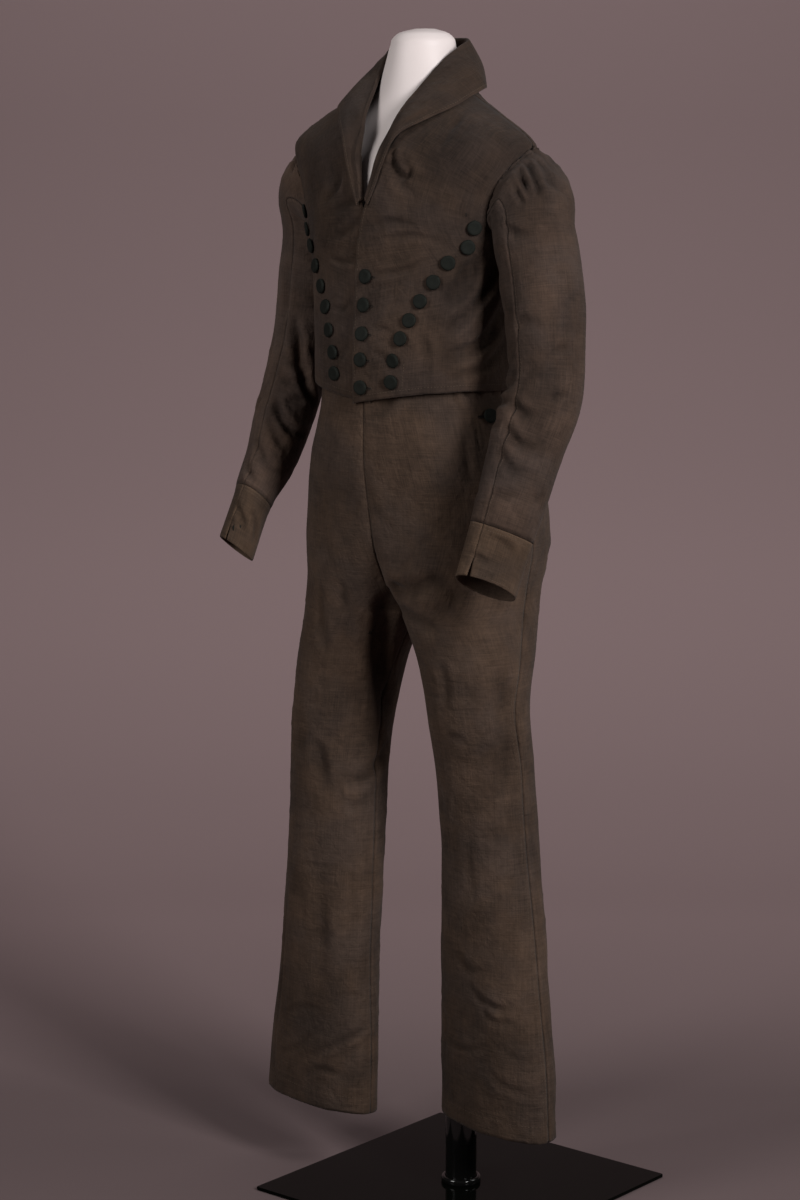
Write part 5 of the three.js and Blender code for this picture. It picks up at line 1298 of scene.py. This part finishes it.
def covered_button(name, node, at, normal, r, h, seed, groove=False):
    """A flat cloth-covered mould: a rounded rim, a slightly hollow face and a little tilt."""
    rng = np.random.default_rng(seed)
    k, prof = 44, []
    for x, y in [(0.0, 0.0), (0.6, 0.0), (0.86, 0.02), (0.965, 0.12), (1.0, 0.30), (1.0, 0.55), (0.975, 0.74), (0.92, 0.88), (0.84, 0.97),
                 (0.72, 1.0), (0.5, 0.965), (0.26, 0.93), (0.0, 0.92)]:
        prof.append((x * r, y * h))
    n = unit(np.asarray(normal, float))
    t1 = unit(np.cross(n, np.array([0, 0, 1.0])))
    t2 = np.cross(n, t1)
    # tilt it a few degrees about a random line
    q, tilt = rng.random() * 2 * math.pi, math.radians(1.5 + 4 * rng.random())
    axis = t1 * math.cos(q) + t2 * math.sin(q)
    turn = np.array(Matrix.Rotation(tilt, 3, Vector(axis)))
    n2, t1, t2 = turn @ n, turn @ t1, turn @ t2
    base = np.asarray(at, float) + n * (0.35 + r * math.sin(tilt))
    oval = 1 + 0.025 * (rng.random() - 0.5)
    v, f, uv = [], [], []
    for j, (x, y) in enumerate(prof):
        if x == 0:
            v.append(base + n2 * y)
            continue
        for i in range(k):
            a = 2 * math.pi * i / k
            w = 1 + 0.012 * math.sin(3 * a + seed) + 0.008 * math.sin(7 * a + 2 * seed)
            lift = 0.08 * math.sin(2 * a + seed) * (x / r) ** 2
            v.append(base + t1 * (x * w * oval * math.cos(a)) + t2 * (x * w / oval * math.sin(a)) + n2 * (y + lift))
    ring = lambda j: 1 + (j - 1) * k
    last = len(v) - 1
    for i in range(k):
        i2 = (i + 1) % k
        f.append((0, ring(1) + i2, ring(1) + i))
        for j in range(1, len(prof) - 2):
            f.append((ring(j) + i, ring(j) + i2, ring(j + 1) + i2, ring(j + 1) + i))
        f.append((ring(len(prof) - 2) + i, ring(len(prof) - 2) + i2, last))
    ob = mesh_object(name, np.array(v), f)
    ob.data.materials.append(HORN)
    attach(ob, "root")
    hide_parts(node)
    return ob


def buttonhole(name, tree, centre, along_dir, normal, back, ahead, half=1.7):
    """A worked slit: close stitches round a narrow opening, whose dark inside is a sheet of painted shade."""
    n = np.asarray(normal, float)
    d = unit(along_dir - n * (along_dir * n).sum())
    s = np.cross(n, d)
    pts = []
    m = 34
    for i in range(m):
        a = 2 * math.pi * i / m
        x = mix(-back, ahead, 0.5 + 0.5 * math.cos(a))
        y = half * math.copysign(abs(math.sin(a)) ** 0.45, math.sin(a))
        pts.append(centre + d * x + s * y)
    placed = [settle(tree, p, n, 0.05) for p in pts]
    th = WORKED
    for i in range(m):
        p, q = placed[i][0], placed[(i + 1) % m][0]
        nn = placed[i][1]
        c = (p + q) / 2
        out = unit(np.cross(nn, unit(q - p)))
        for f in (0.0, 0.5):
            a = p + (q - p) * f
            th.stitch(a - out * 0.95, a + out * 0.95, nn, 0.36)
    # the slit itself: a dark sheet of painted shade for the opening
    v, fc = [], []
    steps = 12
    for i in range(steps + 1):
        x = mix(-back + 0.6, ahead - 0.6, i / steps)
        w = 1.15 * math.sin(math.pi * min(1, max(0.02, i / steps))) ** 0.4
        for sgn in (1, -1):
            p, nn = settle(tree, centre + d * x + s * sgn * w, n, 0.12)
            v.append(p)
        for sgn in (1, -1):
            p, nn = settle(tree, centre + d * x + s * sgn * w, n, -0.3)
            v.append(p)
    for i in range(steps):
        a, b = i * 4, i * 4 + 4
        fc += [(a, a + 1, b + 1, b), (a + 3, a + 2, b + 2, b + 3), (a + 1, a + 3, b + 3, b + 1), (a + 2, a, b, b + 2)]
    fc += [(1, 0, 2, 3), (steps * 4, steps * 4 + 1, steps * 4 + 3, steps * 4 + 2)]
    ob = mesh_object(name, np.array(v), fc, smooth_faces=False)
    ob.data.materials.append(THREAD_DARK_AND_SLIT_SHADE)
    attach(ob, "root")


WORKED = Thread("buttonhole_stitches", THREAD_WORKED)
for i, (x, z) in enumerate(CENTRE_BUTTONS):
    a = float(front_angle(x, z))
    n = body_normal(a, float(z))
    p, m = settle(FRONT_TREE, body_at(a, float(z), float(rise(a))), n)
    covered_button(f"covered_button_centre_{i + 1}", f"button_centre_{i + 1}", p, m, 10.3, 4.4, 11 + i)
    buttonhole(f"buttonhole_{i + 1}", FRONT_TREE, p + np.array([0, 0, -0.8]), np.array([1.0, 0, 0]), m, 3, 15.5 if i < 4 else 17.5)
for i, (x, left, right) in enumerate(FAN_BUTTONS):
    a, b = float(front_angle(x, left)), float(front_angle(x, right))
    p, m = settle(FRONT_TREE, body_at(a, float(left), float(rise(a))), body_normal(a, float(left)))
    covered_button(f"covered_button_fan_left_{i + 1}", f"button_fan_left_{i + 1}", p, m, 10.2, 4.2, 31 + i)
    nb = body_normal(b, float(right)) * np.array([-1, 1, 1])
    q, m = settle(RIGHT_TREE, mirror(body_at(b, float(right), 0.0)), nb)
    covered_button(f"covered_button_fan_right_{i + 1}", f"button_fan_right_{i + 1}", q, m, 10.2, 4.2, 61 + i)
for side in ("left", "right"):
    tree = fine_tree("cloth_trouser_front_" + side)
    p0 = trouser_point(side, True, 13 / 90, 1101.0)
    sign = 1 if side == "left" else -1
    n0 = unit(p0 - np.array([MID, 10.0, 1101.0]))
    p, m = settle(tree, p0, n0)
    covered_button(f"covered_button_hip_{side}", f"button_hip_{side}", p, m, 10.2, 4.2, 91 if side == "left" else 92)
    buttonhole(f"buttonhole_hip_{side}", tree, p, np.array([-sign * 0.3, -1.0, 0.0]), m, 2, 19)
    tree = fine_tree("cloth_cuff_" + side)
    at = sleeve[side]
    c, d = at(11.72, 112.0, 1.0), at(11.72, 112.0, 2.0)
    p, m = settle(tree, c, unit(d - c))
    covered_button(f"covered_button_cuff_{side}", f"button_cuff_{side}", p, m, 6.6, 3.0, 95 if side == "left" else 96)
WORKED.build()

# ---------------------------------------------------------------- rows of stitches
SEWING = Thread("stitches_jacket", THREAD)
LEG_SEWING = Thread("stitches_trousers", THREAD)
DARK_SEWING = Thread("stitches_dark", THREAD_DARK_AND_SLIT_SHADE)


def along_edge(name, edge, inset, lo=0.0, hi=1.0, n=260):
    """A line on a piece `inset` mm from one of its edges."""
    g = PIECES[name]
    S, T = arc(g["P"], 1), arc(g["P"], 0)
    t = np.linspace(lo, hi, n)
    nv, nu = g["P"].shape[:2]
    out_s, out_t = [], []
    for x in t:
        if edge[0] == "u":
            j = int(round(x * (nv - 1)))
            total = S[j, -1]
            s = np.interp(inset if edge == "u0" else total - inset, S[j], np.linspace(0, 1, nu))
            out_s.append(s)
            out_t.append(x)
        else:
            i = int(round(x * (nu - 1)))
            total = T[-1, i]
            s = np.interp(inset if edge == "v0" else total - inset, T[:, i], np.linspace(0, 1, nv))
            out_s.append(x)
            out_t.append(s)
    return on_piece(name, np.array(out_s), np.array(out_t))


def sew(thread, name, edge, inset, lo=0.0, hi=1.0, **k):
    P, N = along_edge(name, edge, inset, lo, hi)
    thread.run(P, N, **k)


# jacket: the closing edge, the hem all round, the collar's free edge, the shaping lines
sew(SEWING, "cloth_jacket_front_left", "u0", 4.0, 0.02, 0.62, long=2.6, gap=1.6, r=0.30, seed=1)
for k, n in enumerate(("front_left", "front_right", "back_left", "back_right")):
    sew(SEWING, "cloth_jacket_" + n, "v0", 9.0, 0.01, 0.99, long=2.6, gap=1.8, r=0.30, seed=5 + k)
sew(SEWING, "cloth_collar", "v1", 4.5, 0.02, 0.98, long=2.6, gap=1.4, r=0.32, seed=9)
sew(SEWING, "cloth_collar", "u0", 3.5, 0.45, 0.97, long=2.4, gap=1.6, r=0.28, seed=10)
for g, n, *places in [("jacket", "cloth_jacket_front_right", (323.2, 314), (323.4, 345), (324.2, 381)),
                      ("jacket", "cloth_jacket_front_left", (404.0, 364), (403.0, 376), (401.8, 391))]:
    line = [seen(CAD_TREES[g], *p) for p in places]
    line = [p for p in line if p is not None]
    if len(line) > 1:
        tree = fine_tree(n)
        q = polyline(line, 4.0)
        placed = [settle(tree, p, unit(CAM_AT - p), 0.05) for p in q]
        SEWING.run(np.array([p for p, _ in placed]), np.array([m for _, m in placed]), long=2.4, gap=1.6, r=0.27, seed=12)
# sleeves: beside the front seam, and the cuffs' double row and hem
for side in ("left", "right"):
    sew(SEWING, f"cloth_sleeve_top_{side}", "u1", 2.6, 0.12, 0.99, long=2.4, gap=1.8, r=0.24, seed=20)
    for inset, s in ((2.2, 21), (6.4, 22)):
        sew(SEWING, f"cloth_cuff_{side}", "v0", inset, 0.01, 0.99, long=2.5, gap=1.2, r=0.33, seed=s)
    sew(SEWING, f"cloth_cuff_{side}", "v1", 4.0, 0.02, 0.98, long=2.5, gap=1.6, r=0.30, seed=23)
# trousers: the outseam's double row, the front seam, the hems and the fall's edge
for side in ("left", "right"):
    for inset, s in ((3.0, 31), (8.5, 32)):
        sew(LEG_SEWING, f"cloth_trouser_front_{side}", "u0", inset, 0.005, 0.97, long=2.8, gap=1.5, r=0.31, seed=s)
    sew(LEG_SEWING, f"cloth_trouser_front_{side}", "u1", 2.6, 0.70, 0.985, long=2.6, gap=1.8, r=0.26, seed=33)
    for part in ("front", "back"):
        sew(LEG_SEWING, f"cloth_trouser_{part}_{side}", "v0", 24.0, 0.01, 0.99, long=2.4, gap=2.6, r=0.27, seed=34)
fall = [seen(CAD_TREES["leg_left"], *p) for p in ((474.0, 428), (475.6, 440), (478.6, 455))]
fall = [p for p in fall if p is not None]
if len(fall) > 1:
    tree = fine_tree("cloth_trouser_front_left")
    placed = [settle(tree, p, unit(CAM_AT - p), 0.05) for p in polyline(fall, 4.0)]
    LEG_SEWING.run(np.array([p for p, _ in placed]), np.array([m for _, m in placed]), long=2.4, gap=1.6, r=0.28, seed=35)
# the old mend on the right thigh: a small tangle of dark thread, and the hole near the left armhole
mend = seen(CAD_TREES["leg_right"], 371.6, 632.4)
tree = fine_tree("cloth_trouser_front_right")
if mend is not None:
    c, m = settle(tree, mend, unit(CAM_AT - mend), 0.0)
    sx = unit(np.cross(m, np.array([0, 0, 1.0])))
    sy = np.cross(m, sx)
    rng = np.random.default_rng(77)
    trail = [(-9, -3.5), (-5, -3.0), (-2.5, -0.5), (-3.5, 2.5), (0.5, 3.0), (3.0, 1.0), (2.0, -1.5), (6.0, 0.5), (9.5, 2.0)]
    for (x0, y0), (x1, y1) in zip(trail[:-1], trail[1:]):
        a, na = settle(tree, c + sx * x0 + sy * y0, m, 0.1)
        b, nb = settle(tree, c + sx * x1 + sy * y1, m, 0.1)
        DARK_SEWING.stitch(a, b, m, 0.55)
    for i in range(16):
        x, y = (rng.random() - 0.5) * 12, (rng.random() - 0.5) * 6
        q = rng.random() * math.pi
        a, _ = settle(tree, c + sx * x + sy * y, m, 0.08)
        b, _ = settle(tree, c + sx * (x + 2.6 * math.cos(q)) + sy * (y + 2.6 * math.sin(q)), m, 0.08)
        DARK_SEWING.stitch(a, b, m, 0.3)
hole = seen(CAD_TREES["jacket"], 466, 214.8)
if hole is not None:
    c, m = settle(FRONT_TREE, hole, unit(CAM_AT - hole), 0.0)
    for i in range(14):
        q = 2 * math.pi * i / 14
        s1 = unit(np.cross(m, np.array([0, 0, 1.0])))
        s2 = np.cross(m, s1)
        a = c + s1 * 0.5 * math.cos(q) + s2 * 0.8 * math.sin(q)
        b = c + s1 * (1.7 + 0.3 * math.sin(5 * q)) * math.cos(q) + s2 * (2.4 + 0.4 * math.cos(3 * q)) * math.sin(q)
        a, _ = settle(FRONT_TREE, a, m, 0.02)
        b, _ = settle(FRONT_TREE, b, m, 0.05)
        DARK_SEWING.stitch(a, b, m, 0.42)
for t in (SEWING, LEG_SEWING, DARK_SEWING):
    t.build()

# ---------------------------------------------------------------- the form, the pole, its ring and the plate
form_of = columns(FORM, "z", "half", "front", "back", "mid", "square")
zs = np.concatenate([refine(FORM["z"], 5)])
k = 128
ang = np.linspace(0, 2 * np.pi, k, endpoint=False)[None, :]
zz = zs[:, None]
c_, s_, n_ = np.cos(ang), np.sin(ang), form_of["square"](zz)
P = pt(MID + form_of["half"](zz) * power(c_, n_), form_of["mid"](zz) - np.where(s_ > 0, form_of["front"](zz), form_of["back"](zz)) * power(s_, n_), zz)
verts = list(P.reshape(-1, 3))
faces = []
for j in range(len(zs) - 1):
    for i in range(k):
        i2 = (i + 1) % k
        faces.append((j * k + i, j * k + i2, (j + 1) * k + i2, (j + 1) * k + i))
# faces wind so that they look out
flip = np.cross(P[5, 1] - P[5, 0], P[6, 0] - P[5, 0])
if (flip * (P[5, 0] - np.array([MID, 10, P[5, 0, 2]]))).sum() < 0:
    faces = [tuple(reversed(f)) for f in faces]
lowc, highc = len(verts), len(verts) + 1
verts += [np.array([MID, 17, 908.0]), np.array([MID, 9, 1624.6])]
for i in range(k):
    i2 = (i + 1) % k
    t0 = (len(zs) - 1) * k
    a = (lowc, i, i2)
    g = np.cross(verts[i] - verts[lowc], verts[i2] - verts[lowc])
    faces.append(a if g[2] < 0 else tuple(reversed(a)))
    a = (highc, t0 + i, t0 + i2)
    g = np.cross(verts[t0 + i] - verts[highc], verts[t0 + i2] - verts[highc])
    faces.append(a if g[2] > 0 else tuple(reversed(a)))
form = mesh_object("form_smooth", np.array(verts), faces)
form.data.materials.append(FORM_WHITE)
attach(form, "root")
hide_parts("form_torso")


def turned_piece(name, node, profile, k, material, cx=0.0, cy=0.0):
    """A closed turned body from (radius, height) pairs, mm above the plate's underside."""
    v, f = [], []
    for r, z in profile:
        if r == 0:
            v.append((cx, cy, z))
        else:
            v += [(cx + r * math.cos(2 * math.pi * i / k), cy + r * math.sin(2 * math.pi * i / k), z) for i in range(k)]
    start, at = [], 0
    for r, z in profile:
        start.append(at)
        at += 1 if r == 0 else k
    n = len(profile)
    pairs = list(zip(range(n - 1), range(1, n)))
    if profile[0][0] != 0:
        pairs.append((n - 1, 0))
    for a, b in pairs:
        for i in range(k):
            i2 = (i + 1) % k
            if profile[a][0] == 0:
                f.append((start[a], start[b] + i2, start[b] + i))
            elif profile[b][0] == 0:
                f.append((start[a] + i, start[a] + i2, start[b]))
            else:
                f.append((start[a] + i, start[a] + i2, start[b] + i2, start[b] + i))
    ob = mesh_object(name, np.array(v), f, lift=0.0)
    ob.data.materials.append(material)
    for p in ob.data.polygons:
        p.use_smooth = True
    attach(ob, "root")
    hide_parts(node)
    return ob


turned_piece("pole_gloss", "pole", [(0, 5.3), (21.8, 5.3), (22.5, 6.0), (22.5, 8.0), (22.5, 300), (22.5, 600), (22.5, 928.0), (22.5, 929.0),
                                    (21.8, 929.7), (0, 929.7)], 72, BLACK)
turned_piece("ring_gloss", "pole_ring", [(23.1, 5.3), (28.0, 5.3), (28.5, 5.9), (28.5, 10.6), (28.2, 12.0), (27.4, 13.2), (26.4, 14.0),
                                         (25.0, 14.3), (23.6, 14.1), (23.1, 13.6)], 72, BLACK)
# the plate: a sheet with slightly eased edges
h, r = 210.0, 1.0
outline = []
for cx, cy, a0 in ((h - 3, h - 3, 0), (-h + 3, h - 3, 90), (-h + 3, -h + 3, 180), (h - 3, -h + 3, 270)):
    outline += [(cx + 3 * math.cos(math.radians(a0 + 22.5 * i)), cy + 3 * math.sin(math.radians(a0 + 22.5 * i))) for i in range(5)]
levels = [(0.0, 0.7), (0.7, 0.0), (4.3, 0.0), (5.0, 0.7)]
v, f, m = [], [], len(outline)
for z, inset in levels:
    for x, y in outline:
        v.append((x * (1 - inset / h), y * (1 - inset / h), z))
for j in range(len(levels) - 1):
    for i in range(m):
        i2 = (i + 1) % m
        f.append((j * m + i, j * m + i2, (j + 1) * m + i2, (j + 1) * m + i))
f.append(tuple(reversed(range(m))))
f.append(tuple(range((len(levels) - 1) * m, len(levels) * m)))
plate = mesh_object("plate_gloss", np.array(v), f, smooth_faces=False, lift=0.0)
plate.data.materials.append(PLATE_BLACK)
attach(plate, "root")
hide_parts("base_plate")


# ---------------------------------------------------------------- floor, backdrop, lights, camera
look2 = np.array([CAM_LOOK[0], CAM_LOOK[1], 0])
look2 = look2 / np.linalg.norm(look2)
right2 = np.array([CAM_RIGHT[0], CAM_RIGHT[1], 0])
v, f, prof = [], [], []
for d in [*np.linspace(-6.0, -0.4, 8), *np.linspace(-0.2, 1.6, 19)]:
    prof.append((d, -0.0006))
for a in np.linspace(0, 90, 24)[1:]:
    prof.append((1.6 + 1.5 * math.sin(math.radians(a)), 1.5 * (1 - math.cos(math.radians(a))) - 0.0006))
prof += [(3.1, 3.0), (3.1, 5.0)]
for d, z in prof:
    for w in (-6.0, 6.0):
        q = look2 * d + right2 * w
        v.append((q[0], q[1], z))
for i in range(len(prof) - 1):
    f.append((2 * i, 2 * i + 1, 2 * i + 3, 2 * i + 2))
me = bpy.data.meshes.new("studio_sweep")
me.from_pydata(v, [], f)
me.polygons.foreach_set("use_smooth", np.ones(len(me.polygons), bool))
sweep = bpy.data.objects.new("studio_sweep", me)
bpy.context.scene.collection.objects.link(sweep)
# painted shade: the paper is painted darker towards the floor in front and a little at the top
shade = np.interp([d + z for d, z in prof], [-0.02, 0.37, 0.84, 1.41, 2.2, 2.47, 2.88, 3.22, 3.53, 4.08, 4.63, 4.85],
                  [0.50, 0.47, 0.74, 0.95, 0.98, 1.02, 1.06, 1.06, 1.00, 0.94, 0.90, 0.82])
me.attributes.new("shade", "FLOAT", "POINT").data.foreach_set("value", np.repeat(shade, 2))
paper = Nodes("backdrop")
paper.put(paper.bsdf.inputs["Base Color"], paper.colour("MULTIPLY", 1.0, (0.270, 0.196, 0.198, 1), paper.grey(paper.attribute("shade"))))
paper.bsdf.inputs["Roughness"].default_value = 0.9
paper.bsdf.inputs["Specular IOR Level"].default_value = 0.2
# the paper shows from its front only, so that it never stands between the suit and a camera behind it
one_side = paper.nt.nodes.new("ShaderNodeMixShader")
clear = paper.nt.nodes.new("ShaderNodeBsdfTransparent")
paper.nt.links.new(paper.nt.nodes.new("ShaderNodeNewGeometry").outputs["Backfacing"], one_side.inputs[0])
paper.nt.links.new(paper.bsdf.outputs[0], one_side.inputs[1])
paper.nt.links.new(clear.outputs[0], one_side.inputs[2])
paper.nt.links.new(one_side.outputs[0], paper.nt.nodes["Material Output"].inputs["Surface"])
sweep.data.materials.append(paper.mat)
sweep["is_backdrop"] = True


def area(name, place, target, size, power, colour=(1, 1, 1), size_y=None):
    d = bpy.data.lights.new(name, "AREA")
    d.energy, d.color, d.shape = power, colour, "RECTANGLE"
    d.size, d.size_y = size, size_y or size
    o = bpy.data.objects.new(name, d)
    bpy.context.scene.collection.objects.link(o)
    place, target = Vector(place), Vector(target)
    o.location = place
    o.rotation_euler = (target - place).to_track_quat("-Z", "Y").to_euler()
    return o


def spot(r, f_, z):
    """A place r to the camera's right of the suit, f_ beyond it, at height z."""
    q = np.array([-0.05, 0.0, 0.0]) + right2 * r + look2 * f_
    return (q[0], q[1], z)


area("key", spot(1.82, -2.5, 2.35), spot(0, 0, 0.95), 0.8, 97, (1.0, 0.985, 0.98), 1.4)
area("fill", spot(-2.3, -1.6, 2.0), spot(0, 0, 0.95), 1.0, 34, (1.0, 0.985, 0.97), 1.6)
area("side", spot(2.5, -0.2, 1.9), spot(0, 0, 0.95), 0.8, 9, (1.0, 0.99, 0.98), 1.4)
area("back_wash", spot(0.0, 1.3, 3.8), spot(0.0, 3.1, 1.6), 3.6, 42, (1.0, 0.97, 0.98), 0.8)
world = bpy.data.worlds.new("world")
bpy.context.scene.world = world
world.use_nodes = True
world.node_tree.nodes["Background"].inputs["Color"].default_value = (0.52, 0.50, 0.50, 1)
world.node_tree.nodes["Background"].inputs["Strength"].default_value = 0.045

cam = bpy.data.cameras.new("camera")
cam.lens, cam.sensor_width, cam.sensor_fit = 90.0, 36.0, "AUTO"
cam.clip_start, cam.clip_end = 0.1, 50
camera = bpy.data.objects.new("camera", cam)
bpy.context.scene.collection.objects.link(camera)
axes = Matrix((CAM_RIGHT, CAM_UP, -CAM_LOOK)).transposed()
camera.matrix_world = Matrix.Translation(Vector(CAM_AT / 1000)) @ axes.to_4x4()
bpy.context.scene.camera = camera
bpy.context.scene.view_settings.view_transform = "Standard"
bpy.context.scene.view_settings.look = "None"
bpy.context.scene.view_settings.exposure = 0.0
bpy.context.scene.view_settings.gamma = 1.0

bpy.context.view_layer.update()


total = 0
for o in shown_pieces():
    if o.type == "MESH":
        t = sum(len(p.vertices) - 2 for p in o.data.polygons)
        total += t
print("TRIANGLES", total)
